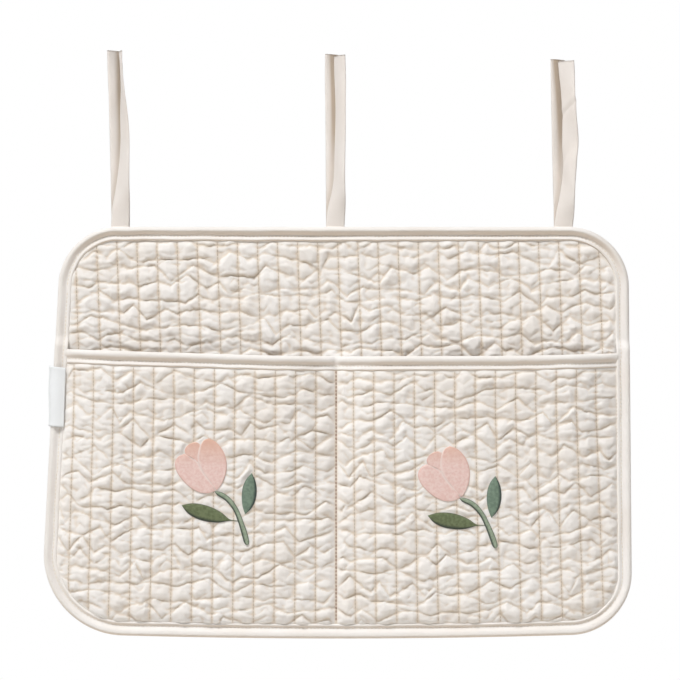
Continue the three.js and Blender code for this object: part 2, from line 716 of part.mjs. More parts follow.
// The pocket's crest plane under the embroidery: the slack grows evenly from the bottom to the mouth.
function crestPlane(z) {
  const low = edgeAt(DIVIDER_X, INNER, -1).z + SEAM_RAMP;
  const share = (top) => clamp01((z - low) / (top - low));
  const mouthLow = Math.min(MOUTH_LEFT_Z, MOUTH_RIGHT_Z) - RAW_EDGE - MOUTH_WIDTH - SEAM_RAMP;
  const mouthHigh = Math.max(MOUTH_LEFT_Z, MOUTH_RIGHT_Z) - RAW_EDGE - MOUTH_WIDTH - SEAM_RAMP;
  const slack = Math.max(share(mouthLow), share(mouthHigh));
  return POCKET_SEAM + 2 * CROWN + STACK + POCKET_SLACK * lerp(SLACK_AT_BOTTOM, 1, slack);
}

function embroidered(outline, baseX, baseZ, turn) {
  const angle = THREE.MathUtils.degToRad(turn);
  const cleaned = outline.filter((point, k) => k === 0 || point.distanceTo(outline[0]) > 1e-6);
  const size = TULIP_HEIGHT / DRAWN_HEIGHT;
  const centre = new THREE.Vector2(0, 0);
  const placed = cleaned.map((point) => point.clone().multiplyScalar(size).rotateAround(centre, angle));
  const sections = [GAP, GAP + TULIP_THICKNESS].map((lift) => placed.map(({ x, y }) => {
    const z = baseZ + y;
    return [baseX + x, -(crestPlane(z) + lift), z];
  }));
  return loft(sections, placed);
}

// Assembly

const organizer = new THREE.Group();

const WADDING_BACK = SKIN + GAP;
const WADDING_FRONT = WADDING_BACK + WADDING_PRESSED;
const FACE_BACK = WADDING_FRONT + GAP;

function addQuiltedCloth(group) {
  addMesh(group, 'back_lining', backLayer(0, SKIN, 0), cotton());
  addMesh(group, 'back_wadding', backLayer(WADDING_BACK, WADDING_FRONT, 1), wadding());
  addMesh(group, 'back_face', backLayer(FACE_BACK, STACK, 1), cotton());
  addMesh(group, 'pocket_lining', pocketLayer(0, SKIN, false, false), cotton());
  addMesh(group, 'pocket_wadding', pocketLayer(WADDING_BACK, WADDING_FRONT, false, true), wadding());
  addMesh(group, 'pocket_face', pocketLayer(FACE_BACK, STACK, true, true), cotton());
}

function addBindings(group) {
  addMesh(group, 'edge_binding', edgeBinding(), tape());
  addMesh(group, 'pocket_binding', pocketBinding(), tape());
  addMesh(group, 'edge_topstitch_front', edgeTopstitch('front'), thread());
  addMesh(group, 'edge_topstitch_back', edgeTopstitch('back'), thread());
  addMesh(group, 'pocket_topstitch', pocketTopstitch(), thread());
  addMesh(group, 'divider_seam_front', dividerSeam('front'), thread());
  addMesh(group, 'divider_seam_back', dividerSeam('back'), thread());
}

function addTies(group) {
  for (const tie of ties) {
    addMesh(group, `tie_root_${tie.name}`, tieRoot(tie.centreX), tape());
    for (const side of ['front', 'back']) {
      const tail = tieTail(tie.centreX, side, tie.length, tie[side]);
      addMesh(group, `tie_tail_${tie.name}_${side}`, tail, tape());
    }
  }
}

function addTulip(group, side, baseX, baseZ, turn) {
  const place = (outline) => embroidered(outline, baseX, baseZ, turn);
  addMesh(group, `tulip_${side}_bloom`, place(bloomOutline()), pinkFloss());
  addMesh(group, `tulip_${side}_stem`, place(stemOutline()), stemFloss());
  addMesh(group, `tulip_${side}_leaf_low`, place(lowLeafOutline()), leafFloss());
  addMesh(group, `tulip_${side}_leaf_high`, place(highLeafOutline()), leafFloss());
}

addQuiltedCloth(organizer);
addBindings(organizer);
addTies(organizer);
addMesh(organizer, 'side_label', sideLabel(), ribbon());
addTulip(organizer, 'left', TULIP_LEFT_X, TULIP_LEFT_Z, 0);
addTulip(organizer, 'right', TULIP_RIGHT_X, TULIP_RIGHT_Z, TULIP_RIGHT_TURN);

export default organizer;
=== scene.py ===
# A quilted crib organizer with two pockets, hung by three pairs of ties.
import math

import bmesh
import bpy
import numpy as np
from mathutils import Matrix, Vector


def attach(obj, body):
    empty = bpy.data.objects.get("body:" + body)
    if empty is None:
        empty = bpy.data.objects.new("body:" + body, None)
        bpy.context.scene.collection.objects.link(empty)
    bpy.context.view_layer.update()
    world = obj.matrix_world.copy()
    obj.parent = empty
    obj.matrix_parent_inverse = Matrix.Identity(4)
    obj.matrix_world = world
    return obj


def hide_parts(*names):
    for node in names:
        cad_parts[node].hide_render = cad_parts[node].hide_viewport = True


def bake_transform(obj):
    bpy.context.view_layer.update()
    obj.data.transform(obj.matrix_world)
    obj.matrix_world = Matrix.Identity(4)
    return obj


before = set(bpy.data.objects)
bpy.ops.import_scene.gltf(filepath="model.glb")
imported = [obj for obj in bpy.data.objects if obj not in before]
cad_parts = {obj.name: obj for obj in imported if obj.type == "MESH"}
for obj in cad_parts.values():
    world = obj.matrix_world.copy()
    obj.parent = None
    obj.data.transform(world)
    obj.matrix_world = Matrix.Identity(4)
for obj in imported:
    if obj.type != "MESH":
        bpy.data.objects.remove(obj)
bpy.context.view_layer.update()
MM = 0.001

# ---- camera and light
scene = bpy.context.scene
scene.view_settings.view_transform = "Standard"

SENSOR_WIDTH = 36
VIEW_WIDTH = 0.5902
VIEW_DISTANCE = 1.8
VIEW_CENTRE = (0.0004, -0.0981)
FILL_STRENGTH = 0.2
FILL_LOW, FILL_HIGH = (0.84, 0.7, 0.56, 1), (0.92, 0.9, 0.88, 1)
WHITE = (1, 1, 1, 1)


class Nodes:
    """A node tree, with short ways to add nodes to it. An input is a value or another node's output."""

    def __init__(self, tree):
        self.tree = tree

    def feed(self, socket, value):
        if isinstance(value, bpy.types.NodeSocket):
            self.tree.links.new(value, socket)
        else:
            socket.default_value = value

    def add(self, kind, inputs=(), **settings):
        made = self.tree.nodes.new(kind)
        for key, value in settings.items():
            setattr(made, key, value)
        for key, value in dict(inputs).items():
            self.feed(made.inputs[key], value)
        return made.outputs

    def math(self, operation, first, second=0.0):
        return self.add("ShaderNodeMath", {0: first, 1: second}, operation=operation)[0]

    def plus(self, first, second):
        return self.math("ADD", first, second)

    def times(self, first, second):
        return self.math("MULTIPLY", first, second)

    def mix(self, factor, a, b):
        return self.add("ShaderNodeMix", {"Factor": factor, "A": a, "B": b}, data_type="RGBA")["Result"]

    def over(self, tone, share, most, colour):
        """A tone with another colour over it, where a share from 0 to 1 says, and at most so much."""
        return self.mix(self.times(share, most), tone, colour)

    def ramp(self, value, low, high):
        return self.add("ShaderNodeMapRange", {"Value": value, "From Min": low, "From Max": high})["Result"]

    def noise(self, vector, scale, detail=3):
        return self.add("ShaderNodeTexNoise", {"Vector": vector, "Scale": scale, "Detail": detail})["Fac"]

    def attribute(self, name):
        return self.add("ShaderNodeAttribute", attribute_name=name)["Fac"]

    def coordinates(self, kind="Object"):
        return self.add("ShaderNodeTexCoord")[kind]

    def height_in(self, vector):
        return self.add("ShaderNodeSeparateXYZ", {0: vector})["Z"]


def add_camera():
    data = bpy.data.cameras.new("camera")
    data.sensor_width = SENSOR_WIDTH
    data.lens = SENSOR_WIDTH * VIEW_DISTANCE / VIEW_WIDTH
    camera = bpy.data.objects.new("camera", data)
    camera.location = (VIEW_CENTRE[0], -VIEW_DISTANCE, VIEW_CENTRE[1])
    camera.rotation_euler = (math.pi / 2, 0, 0)
    scene.collection.objects.link(camera)
    scene.camera = camera


def add_lamp(name, place, aim, size, energy, colour):
    data = bpy.data.lights.new(name, "AREA")
    data.shape = "RECTANGLE"
    data.size, data.size_y = size
    data.energy = energy
    data.color = colour
    lamp = bpy.data.objects.new(name, data)
    lamp.location = place
    lamp.rotation_euler = (Vector(aim) - Vector(place)).to_track_quat("-Z", "Y").to_euler()
    scene.collection.objects.link(lamp)


def add_world():
    """A dim warm fill, paler above. The camera, mirrors and glass see white in its place."""
    world = bpy.data.worlds.new("studio")
    scene.world = world
    world.use_nodes = True
    world.node_tree.nodes.clear()
    tree = Nodes(world.node_tree)
    upward = tree.ramp(tree.height_in(tree.coordinates("Generated")), -0.6, 0.7)
    tone = tree.mix(upward, FILL_LOW, FILL_HIGH)
    ray = tree.add("ShaderNodeLightPath")
    seen = tree.math("MAXIMUM", ray["Is Camera Ray"], ray["Is Glossy Ray"])
    seen = tree.math("MAXIMUM", seen, ray["Is Transmission Ray"])
    fill = tree.add("ShaderNodeBackground", {"Color": tone, "Strength": FILL_STRENGTH})[0]
    white = tree.add("ShaderNodeBackground", {"Color": WHITE, "Strength": 1})[0]
    mixed = tree.add("ShaderNodeMixShader", {0: seen, 1: fill, 2: white})[0]
    tree.add("ShaderNodeOutputWorld", {"Surface": mixed})


add_camera()
add_world()
add_lamp("key", (-1.6, -3.0, 4.9), (0, 0, -0.15), (1.9, 1.2), 335, (0.99, 0.995, 1.0))
add_lamp("front", (0.6, -1.9, -0.3), (0, 0, -0.2), (1.2, 1.2), 2, (1.0, 0.95, 0.88))
add_lamp("back", (-0.9, 2.9, 2.6), (0, 0, -0.15), (1.8, 1.4), 40, (1.0, 0.98, 0.95))

# ---- named sizes, in millimetres
LEFT_TOP_X = -241.2
LEFT_BOTTOM_X = -259.7
RIGHT_TOP_X = 250.4
RIGHT_BOTTOM_X = 253.4
PANEL_HEIGHT = 351.5
TOP_CORNER_RADIUS = 52
BOTTOM_LEFT_RADIUS = 68
BOTTOM_RIGHT_RADIUS = 52
SAG = 5
STACK = 2.2
CROWN = 2.4
CHANNEL_PITCH = 17.4
SEAM_RAMP = 12
BINDING_WIDTH = 11.6
MOUTH_LEFT_Z = -105
MOUTH_RIGHT_Z = -109
MOUTH_WIDTH = 12.2
DIVIDER_X = -3
POCKET_SEAM = 3.5
POCKET_SLACK = 10
SLACK_RAMP = 45
SLACK_AT_BOTTOM = 0.08
EMBROIDERY_GROUND = 1.7


def lerp(a, b, t):
    return a + (b - a) * t


def smooth01(t):
    t = np.clip(t, 0, 1)
    return t * t * (3 - 2 * t)


def bell(distance, width):
    """1 at no distance, falling off smoothly over about the width."""
    return np.exp(-((distance / width) ** 2))


def sag_at(x, z):
    half = (RIGHT_BOTTOM_X - LEFT_BOTTOM_X) / 2
    across = np.maximum(0, 1 - (x / half) ** 2)
    return SAG * across * np.sin(math.pi / 2 * np.clip(z / MOUTH_LEFT_Z, 0, 1))


def hang(points):
    """Points in millimetres, [x, y, z], let down by the sag of the cloth, in metres."""
    points = np.array(points, float)
    points[..., 2] -= sag_at(points[..., 0], points[..., 2])
    return points * MM


LEFT_LEAN = math.atan((LEFT_TOP_X - LEFT_BOTTOM_X) / PANEL_HEIGHT)
RIGHT_LEAN = math.atan((RIGHT_BOTTOM_X - RIGHT_TOP_X) / PANEL_HEIGHT)
LEFT_NORMAL = np.array([-math.cos(LEFT_LEAN), math.sin(LEFT_LEAN)])
RIGHT_NORMAL = np.array([math.cos(RIGHT_LEAN), math.sin(RIGHT_LEAN)])
UP = np.array([0.0, 1.0])
DOWN = np.array([0.0, -1.0])


def left_x(z, inset=0):
    return lerp(LEFT_TOP_X, LEFT_BOTTOM_X, -z / PANEL_HEIGHT) + inset / math.cos(LEFT_LEAN)


def right_x(z, inset=0):
    return lerp(RIGHT_TOP_X, RIGHT_BOTTOM_X, -z / PANEL_HEIGHT) - inset / math.cos(RIGHT_LEAN)


def corner(side_x, radius, z, first, second):
    """A rounded corner: the centre of its arc, its radius, and the way out at both ends."""
    return np.array([side_x(z, radius), z]), radius, first, second


CORNERS = [
    corner(left_x, TOP_CORNER_RADIUS, -TOP_CORNER_RADIUS, LEFT_NORMAL, UP),
    corner(right_x, TOP_CORNER_RADIUS, -TOP_CORNER_RADIUS, UP, RIGHT_NORMAL),
    corner(right_x, BOTTOM_RIGHT_RADIUS, BOTTOM_RIGHT_RADIUS - PANEL_HEIGHT, RIGHT_NORMAL, DOWN),
    corner(left_x, BOTTOM_LEFT_RADIUS, BOTTOM_LEFT_RADIUS - PANEL_HEIGHT, DOWN, LEFT_NORMAL),
]


def mouth_z(x):
    return lerp(MOUTH_LEFT_Z, MOUTH_RIGHT_Z, (x - LEFT_TOP_X) / (RIGHT_TOP_X - LEFT_TOP_X))


def inset_at(x, z):
    """How far places on the panel lie inside its outline, and the direction out from there."""
    sides = [
        (-z, UP),
        (z + PANEL_HEIGHT, DOWN),
        ((x - left_x(z)) * math.cos(LEFT_LEAN), LEFT_NORMAL),
        ((right_x(z) - x) * math.cos(RIGHT_LEAN), RIGHT_NORMAL),
    ]
    inset = np.full(x.shape, 1e9)
    out = np.zeros(x.shape + (2,))
    for distance, normal in sides:
        closer = distance < inset
        inset = np.where(closer, distance, inset)
        out[closer] = normal
    for centre, radius, first, second in CORNERS:
        vx, vz = x - centre[0], z - centre[1]
        det = first[0] * second[1] - first[1] * second[0]
        a = (vx * second[1] - vz * second[0]) / det
        b = (vz * first[0] - vx * first[1]) / det
        reach = np.hypot(vx, vz)
        here = (a > 0) & (b > 0)
        inset = np.where(here, radius - reach, inset)
        out[here] = (np.stack([vx, vz], -1) / np.maximum(reach, 1e-6)[..., None])[here]
    return inset, out


# ---- quilting
CELLS = 18
STEP = CHANNEL_PITCH / CELLS
FIRST_LINE, LAST_LINE = -15, 15
COLUMNS = (LAST_LINE - FIRST_LINE) * CELLS + 1
DIVIDER_COLUMN = -FIRST_LINE * CELLS
ROWS = 2 * int(math.ceil((PANEL_HEIGHT + 4) / STEP / 2)) + 1
GRID_X = DIVIDER_X + FIRST_LINE * CHANNEL_PITCH + np.arange(COLUMNS) * STEP
GRID_Z = 2 - np.arange(ROWS) * STEP
X, Z = np.meshgrid(GRID_X, GRID_Z)
IS_SEAM = np.arange(COLUMNS) % CELLS == 0
SEAM_SHARE = np.abs(((X - DIVIDER_X) / CHANNEL_PITCH + 0.5) % 1 - 0.5) * 2
FROM_SEAM = SEAM_SHARE * CHANNEL_PITCH / 2
RISE = np.sin(SEAM_SHARE * math.pi / 2)

LARGE_FOLDS = dict(spacing=11.2, pitch=0.8 * CHANNEL_PITCH, puff=2.1, crease=1.5, seed=11)
SMALL_FOLDS = dict(spacing=6.4, pitch=0.5 * CHANNEL_PITCH, puff=0.5, crease=0.7, seed=23)
FOLD_SWING = 0.62
FOLD_WOBBLE = 0.55
LEAST_GAP = 0.14
RIM = 1.1
LIP = 1.2
SEAM_DIP = 0.2
SEAM_PULL = 0.18
PULL_WIDTH = 1.2
SEAM_SHADE = 0.55
SHADE_WIDTH = 1.4
LOWEST, HIGHEST = -0.4, 3.6

CLOTH_FRAMES = 15
CLOTH_SETTINGS = dict(
    quality=6, mass=0.15, air_damping=2,
    tension_stiffness=15, compression_stiffness=15, shear_stiffness=8, bending_stiffness=0.15,
    tension_damping=5, compression_damping=5, shear_damping=5, bending_damping=0.5,
    vertex_group_mass="seams", pin_stiffness=1, shrink_min=-0.025, shrink_max=-0.025,
    use_pressure=True, uniform_pressure_force=0.015,
)


def soft_noise(shape, wide, high, seed):
    """Smooth noise on a grid, with a spread of 1."""
    raw = np.random.default_rng(seed).standard_normal(shape)
    fx = np.fft.fftfreq(shape[1])[None, :] * wide * 2 * math.pi
    fz = np.fft.fftfreq(shape[0])[:, None] * high * 2 * math.pi
    out = np.real(np.fft.ifft2(np.fft.fft2(raw) * np.exp(-0.5 * (fx**2 + fz**2))))
    return out / out.std()


def breaks(rng, pitch, first, jitter):
    """Uneven places across the quilt, about one pitch apart."""
    places, x = [], GRID_X[0] - pitch * rng.uniform(1, first)
    while x < GRID_X[-1] + 2 * pitch:
        places.append(x)
        x += pitch * (1 + jitter * rng.uniform(-1, 1))
    return places


def broken_line(rng, pitch, low, high):
    """A value at every column, straight between breaks."""
    places = breaks(rng, pitch, 2, 0.45)
    return np.interp(GRID_X, places, rng.uniform(low, high, len(places)))


def zigzag(rng, pitch, swing, phase):
    """A line across the quilt that climbs and falls from one break to the next."""
    places = breaks(rng, pitch, 1.4, 0.5)
    side = np.where((np.arange(len(places)) + phase) % 2 == 0, 1, -1)
    line = np.interp(GRID_X, places, swing * (0.34 * side + 0.85 * rng.uniform(-1, 1, len(places))))
    return line + broken_line(rng, 0.28 * pitch, -0.09 * swing, 0.09 * swing)


def folds(spacing, pitch, puff, crease, seed):
    """Flat cloth planes between zigzag creases. Each plane has a rim above, a ridge, and a lip below."""
    rng = np.random.default_rng(seed)

    def varied(low, high, share=1.0):
        return broken_line(rng, share * pitch, low, high)

    lines = [GRID_Z[0] + 1.5 * spacing + np.zeros(COLUMNS)]
    for row in range(int((GRID_Z[0] - GRID_Z[-1]) / spacing) + 3):
        line = GRID_Z[0] + (0.5 - row) * spacing + zigzag(rng, pitch, FOLD_SWING * spacing, row)
        lines.append(np.minimum(line, lines[-1] - LEAST_GAP * spacing))
    knots, heights = [], []
    for upper, lower in zip(lines, lines[1:]):
        gap = upper - lower
        full = np.clip(gap / spacing, 0, 1.25)
        peak = puff * full * (varied(0.2, 1.3) + varied(-0.3, 0.3, 0.5)) * (0.6 + 0.4 * RISE[0])
        rim, lip = np.minimum(RIM, 0.2 * gap), np.minimum(LIP, 0.2 * gap)
        knots += [upper, upper - rim, upper - gap * varied(0.25, 0.6), lower + lip]
        depth = crease * full * varied(-0.15, 1.25, 0.55) * (1 - 0.45 * RISE[0])
        heights += [-depth, peak * varied(0.1, 0.7), peak, peak * varied(0.0, 0.7)]
    knots, heights = np.array(knots)[::-1], np.array(heights)[::-1]
    at = GRID_Z[:, None] + FOLD_WOBBLE * soft_noise(X.shape, 5 / STEP, 4 / STEP, seed + 1)
    return np.stack([np.interp(at[:, k], knots[:, k], heights[:, k]) for k in range(COLUMNS)], axis=1)


def start_relief():
    relief = folds(**LARGE_FOLDS) + folds(**SMALL_FOLDS)
    relief = relief * (1 - SEAM_DIP + SEAM_DIP * RISE)
    pulled = SEAM_PULL * bell(FROM_SEAM, PULL_WIDTH)
    relief = relief * (1 - pulled) + 0.1 * soft_noise(X.shape, 1.6 / STEP, 1.2 / STEP, 1)
    return relief - np.percentile(relief, 3)


def softened(field, passes):
    """A grid of values with its sharpest steps eased."""
    for _ in range(passes):
        padded = np.pad(field, 1, mode="edge")
        rows = (padded[:-2] + 2 * padded[1:-1] + padded[2:]) / 4
        field = (rows[:, :-2] + 2 * rows[:, 1:-1] + rows[:, 2:]) / 4
    return field


def finer(coarse):
    """A field on every second grid place, filled in between."""
    rows = np.empty((ROWS, coarse.shape[1]))
    rows[::2] = coarse
    rows[1::2] = (coarse[:-1] + coarse[1:]) / 2
    full = np.empty((ROWS, COLUMNS))
    full[:, ::2] = rows
    full[:, 1::2] = (rows[:, :-1] + rows[:, 1:]) / 2
    return full


def grid_quads(index):
    """The faces between the rows and columns of a grid of point numbers."""
    return np.stack([index[1:, :-1], index[1:, 1:], index[:-1, 1:], index[:-1, :-1]], -1)


def simulate(relief):
    """Cloth pinned at its stitch lines grows a little and is blown up by its wadding.
    Each place of the quilt then moves as the cloth did."""
    coarse = [X[::2, ::2], -softened(relief, 2)[::2, ::2], Z[::2, ::2]]
    flat = np.stack(coarse, -1) * MM
    shape = flat.shape[:2]
    index = np.arange(flat.size // 3).reshape(shape)
    mesh = bpy.data.meshes.new("quilt_cloth")
    mesh.from_pydata(flat.reshape(-1, 3).tolist(), [], grid_quads(index).reshape(-1, 4).tolist())
    cloth = bpy.data.objects.new("quilt_cloth", mesh)
    scene.collection.objects.link(cloth)
    held = np.zeros(shape, bool)
    held[:, IS_SEAM[::2]] = True
    held[0] = held[-1] = True
    cloth.vertex_groups.new(name="seams").add([int(i) for i in index[held]], 1.0, "REPLACE")
    modifier = cloth.modifiers.new("cloth", "CLOTH")
    for key, value in CLOTH_SETTINGS.items():
        setattr(modifier.settings, key, value)
    modifier.settings.effector_weights.gravity = 0
    modifier.collision_settings.use_collision = False
    modifier.point_cache.frame_start = 1
    modifier.point_cache.frame_end = CLOTH_FRAMES
    for number in range(1, CLOTH_FRAMES + 1):
        scene.frame_set(number)
    shaped = cloth.evaluated_get(bpy.context.evaluated_depsgraph_get()).to_mesh()
    out = np.zeros(len(shaped.vertices) * 3, np.float32)
    shaped.vertices.foreach_get("co", out)
    bpy.data.objects.remove(cloth)
    bpy.data.meshes.remove(mesh)
    scene.frame_set(1)
    moved = (out.reshape(flat.shape) - flat) / MM
    dx, dy, dz = [finer(softened(moved[..., k], 1)) for k in range(3)]
    return X + dx, relief - dy, Z + dz


relief = start_relief()
QX, QH, QZ = simulate(relief)
QH = np.clip(QH, LOWEST, HIGHEST)
# Painted shade for the quilt: a deeper tone in its hollows, on the down-facing slopes that the light from above
# leaves dark, and along the stitch lines.
HOLLOW = np.clip((softened(QH, 10) - QH) / 0.5, 0, 1)
OVERHANG = np.clip(-np.gradient(softened(QH, 1), axis=0) / STEP / 0.8, 0, 1)
PAINTED_SHADE = np.clip(0.75 * HOLLOW + 0.45 * OVERHANG + SEAM_SHADE * bell(FROM_SEAM, SHADE_WIDTH), 0, 1)


# ---- meshes
def mesh_object(name, points, faces, material):
    mesh = bpy.data.meshes.new(name)
    mesh.from_pydata(np.asarray(points).reshape(-1, 3).tolist(), [], [list(map(int, f)) for f in faces])
    mesh.validate()
    mesh.polygons.foreach_set("use_smooth", [True] * len(mesh.polygons))
    mesh.update()
    mesh.materials.append(material)
    piece = bpy.data.objects.new(name, mesh)
    scene.collection.objects.link(piece)
    return piece


def add_attribute(piece, name, values):
    attribute = piece.data.attributes.new(name, "FLOAT", "POINT")
    attribute.data.foreach_set("value", np.asarray(values, np.float32))


def swept_faces(index):
    """The faces between closed rows of point numbers."""
    a, b = index[:-1], index[1:]
    return np.stack([a, np.roll(a, -1, 1), np.roll(b, -1, 1), b], -1).reshape(-1, 4).tolist()


def tube_faces(count, around, across):
    """Faces of a flat closed profile over its stations, with both ends shut."""
    index = np.arange(count * around).reshape(count, around)
    faces = swept_faces(index)
    for row, flip in ((index[0], True), (index[-1], False)):
        front, back = row[:across], [row[0], *row[across:][::-1], row[across - 1]]
        for j in range(across - 1):
            quad = list(dict.fromkeys([front[j], front[j + 1], back[j + 1], back[j]]))
            faces.append(quad if flip else quad[::-1])
    return faces


def layered_faces(rows, columns):
    """Faces of two grids of points, one behind the other, joined round their rims."""
    layer = rows * columns
    index = np.arange(layer).reshape(rows, columns)
    quads = np.roll(grid_quads(index), 1, -1).reshape(-1, 4)
    rim = [*index[0, :-1], *index[:-1, -1], *index[-1, :0:-1], *index[:0:-1, 0]]
    sides = [[a, b, b + layer, a + layer] for a, b in zip(rim, rim[1:] + rim[:1])]
    return quads.tolist() + (quads[:, ::-1] + layer).tolist() + sides


def closed_sheet(name, front, back, inside, material, creases):
    """A padded sheet: a fine front, a back with every second place, and a rim between them."""
    corner = inside[::2, ::2]
    kept = corner[1:, :-1] | corner[1:, 1:] | corner[:-1, 1:] | corner[:-1, :-1]
    fine = np.arange(ROWS * COLUMNS).reshape(ROWS, COLUMNS)
    coarse = fine.size + np.arange(corner.size).reshape(corner.shape)
    faces = grid_quads(fine)[np.repeat(np.repeat(kept, 2, 0), 2, 1)].tolist()
    faces += grid_quads(coarse)[kept][:, ::-1].tolist()
    around = np.pad(kept, 1)
    low, mid, high = slice(0, -1, 2), slice(1, None, 2), slice(2, None, 2)
    sides = [
        (around[2:, 1:-1], fine[high, low], fine[high, mid], fine[high, high], coarse[1:, :-1], coarse[1:, 1:]),
        (around[1:-1, 2:], fine[high, high], fine[mid, high], fine[low, high], coarse[1:, 1:], coarse[:-1, 1:]),
        (around[:-2, 1:-1], fine[low, high], fine[low, mid], fine[low, low], coarse[:-1, 1:], coarse[:-1, :-1]),
        (around[1:-1, :-2], fine[low, low], fine[mid, low], fine[high, low], coarse[:-1, :-1], coarse[1:, :-1]),
    ]
    for beyond, first, middle, second, first_back, second_back in sides:
        rim = np.stack([second, middle, first, first_back, second_back], -1)
        faces += rim[kept & ~beyond].tolist()
    used = np.unique(np.concatenate([np.ravel(f) for f in faces]))
    compact = np.zeros(fine.size + coarse.size, int)
    compact[used] = np.arange(len(used))
    points = np.concatenate([front.reshape(-1, 3), back.reshape(-1, 3)])[used]
    piece = mesh_object(name, points, [compact[f] for f in faces], material)
    # The crease attribute carries painted shade, which the cloth material lays on as a deeper tone.
    add_attribute(piece, "crease", np.concatenate([creases.ravel(), creases[::2, ::2].ravel()])[used])
    return piece


# ---- materials
def linear(r, g, b):
    """A display colour, 0 to 255, as the shader's linear values."""
    return (*(((c / 255 + 0.055) / 1.055) ** 2.4 for c in (r, g, b)), 1)


def new_material(name):
    material = bpy.data.materials.new(name)
    material.use_nodes = True
    return material, Nodes(material.node_tree), material.node_tree.nodes["Principled BSDF"].inputs


def add_bump(tree, surface, height, strength, distance):
    inputs = {"Height": height, "Strength": strength, "Distance": distance * MM}
    tree.feed(surface["Normal"], tree.add("ShaderNodeBump", inputs)[0])


def yarns(tree, vector, direction, width):
    """Parallel yarns of a width in millimetres, a little uneven."""
    inputs = {"Scale": math.pi / (10 * (2 * width * MM)), "Distortion": 0.6, "Detail": 1, "Detail Scale": 0.4}
    return tree.add("ShaderNodeTexWave", {"Vector": vector, **inputs}, bands_direction=direction)["Fac"]


def cloth_material(name, pale, deep, folded=None, yarn=0.5, turn=0, bump=0.35, sheen=0.25, rough=0.92):
    """Plain-woven cloth: crossing yarns and fuzz as bump, a cloudy tone, and a deeper tone painted as shade in its
    folds, where its crease attribute says.
    """
    material, tree, surface = new_material(name)
    pale, deep = linear(*pale), linear(*deep)
    coord = tree.coordinates()
    vector = tree.add("ShaderNodeMapping", {"Vector": coord, "Rotation": (0, math.radians(turn), 0)})["Vector"]
    woven = tree.times(yarns(tree, vector, "X", yarn), yarns(tree, vector, "Z", yarn))
    fuzz, slub = tree.noise(vector, 1400, 4), tree.noise(vector, 260)
    height = tree.plus(tree.times(woven, 0.55), tree.times(fuzz, 0.5))
    add_bump(tree, surface, tree.plus(height, tree.times(slub, 0.5)), bump, 0.35)
    clouds = tree.ramp(tree.noise(coord, 22), 0.3, 0.7)
    tone = tree.over(pale, clouds, 0.22, deep)
    specks = tree.ramp(tree.noise(vector, 900, 2), 0.62, 0.8)
    tone = tree.over(tone, specks, 0.25, deep)
    # Painted shade: the crease attribute darkens the tone toward the folded colour.
    if folded:
        creases = tree.ramp(tree.attribute("crease"), 0.05, 0.95)
        tone = tree.over(tone, creases, 0.85, linear(*folded))
    tree.feed(surface["Base Color"], tone)
    surface["Roughness"].default_value = rough
    surface["Sheen Weight"].default_value = sheen
    surface["Sheen Roughness"].default_value = 0.6
    surface["Specular IOR Level"].default_value = 0.25
    return material


def floss_material(name, pale, deep, rim, rim_low, rim_share, shaded=None, tint=None, seam=None):
    """Satin-stitched floss: threads lie across the shape. Its darker rim is partly the threads diving into the cloth
    and partly painted shade at the domed edges, and a shaded side gets painted shade.
    """
    material, tree, surface = new_material(name)
    pale, deep, rim = linear(*pale), linear(*deep), linear(*rim)
    coord = tree.coordinates()
    edge, side, run = (tree.attribute(key) for key in ("edge", "side", "run"))
    phase = tree.plus(tree.times(run, 2 * math.pi / FLOSS_PITCH), tree.times(tree.noise(coord, 160), 4.0))
    wave = tree.math("SINE", tree.plus(phase, tree.times(side, 5.0)))
    threads = tree.times(tree.plus(wave, 1.0), 0.5)
    height = tree.plus(threads, tree.times(tree.noise(coord, 1500), 0.5))
    add_bump(tree, surface, height, 0.5, 0.25)
    patches = tree.ramp(tree.noise(coord, 420), 0.38, 0.62)
    tone = tree.over(pale, patches, 0.75, deep)
    tone = tree.over(tone, threads, 0.2, deep)
    if tint:
        colour, low, high = tint
        tone = tree.over(tone, tree.ramp(tree.height_in(coord), low, high), 0.85, linear(*colour))
    # A darker rim: partly the threads diving into the cloth, partly painted shade at the domed edges.
    tone = tree.over(tone, tree.ramp(edge, rim_low, 1.0), rim_share, rim)
    if seam:
        tone = tree.over(tone, tree.ramp(tree.attribute("meeting"), 0.9, 0.98), 0.8, linear(*seam))
    # Painted shade: one side of the shape darker, as if turned away from the light.
    if shaded:
        tone = tree.over(tone, tree.ramp(side, *shaded), 0.92, rim)
    tree.feed(surface["Base Color"], tone)
    surface["Roughness"].default_value = 0.5
    surface["Sheen Weight"].default_value = 0.2
    surface["Specular IOR Level"].default_value = 0.4
    return material


FLOSS_PITCH = 0.42
FINE = dict(yarn=0.25, sheen=0.1)
# The third colour of these cloths is painted shade, laid on by their crease attribute: in the quilt's hollows,
# overhangs and seams, on the tapes' down-facing sides, and on the back tie tails beside the front ones.
QUILT = cloth_material("quilt_cotton", (246, 243, 240), (224, 208, 188), (224, 208, 188))
TAPE = cloth_material("bias_tape", (244, 241, 238), (220, 202, 182), (220, 202, 182), turn=45)
TIE_TAPE = cloth_material("tie_tape", (241, 235, 230), (220, 204, 187), (196, 176, 153))
THREAD = cloth_material("quilting_thread", (196, 182, 167), (168, 152, 135), **FINE)
DIVIDER_THREAD = cloth_material("divider_thread", (158, 130, 112), (126, 98, 82), **FINE)
TAPE_THREAD = cloth_material("topstitch_thread", (236, 226, 212), (206, 186, 160), **FINE)
LABEL = cloth_material("label_ribbon", (246, 249, 251), (226, 229, 231), yarn=0.22, rough=0.6, sheen=0.15, bump=0.2)
BLOOM_EXTRAS = dict(tint=((232, 182, 156), -0.206, -0.182), seam=(252, 234, 228))
BLOOM = floss_material("bloom_floss", (250, 222, 215), (238, 198, 189), (222, 172, 162), 0.88, 0.6, **BLOOM_EXTRAS)
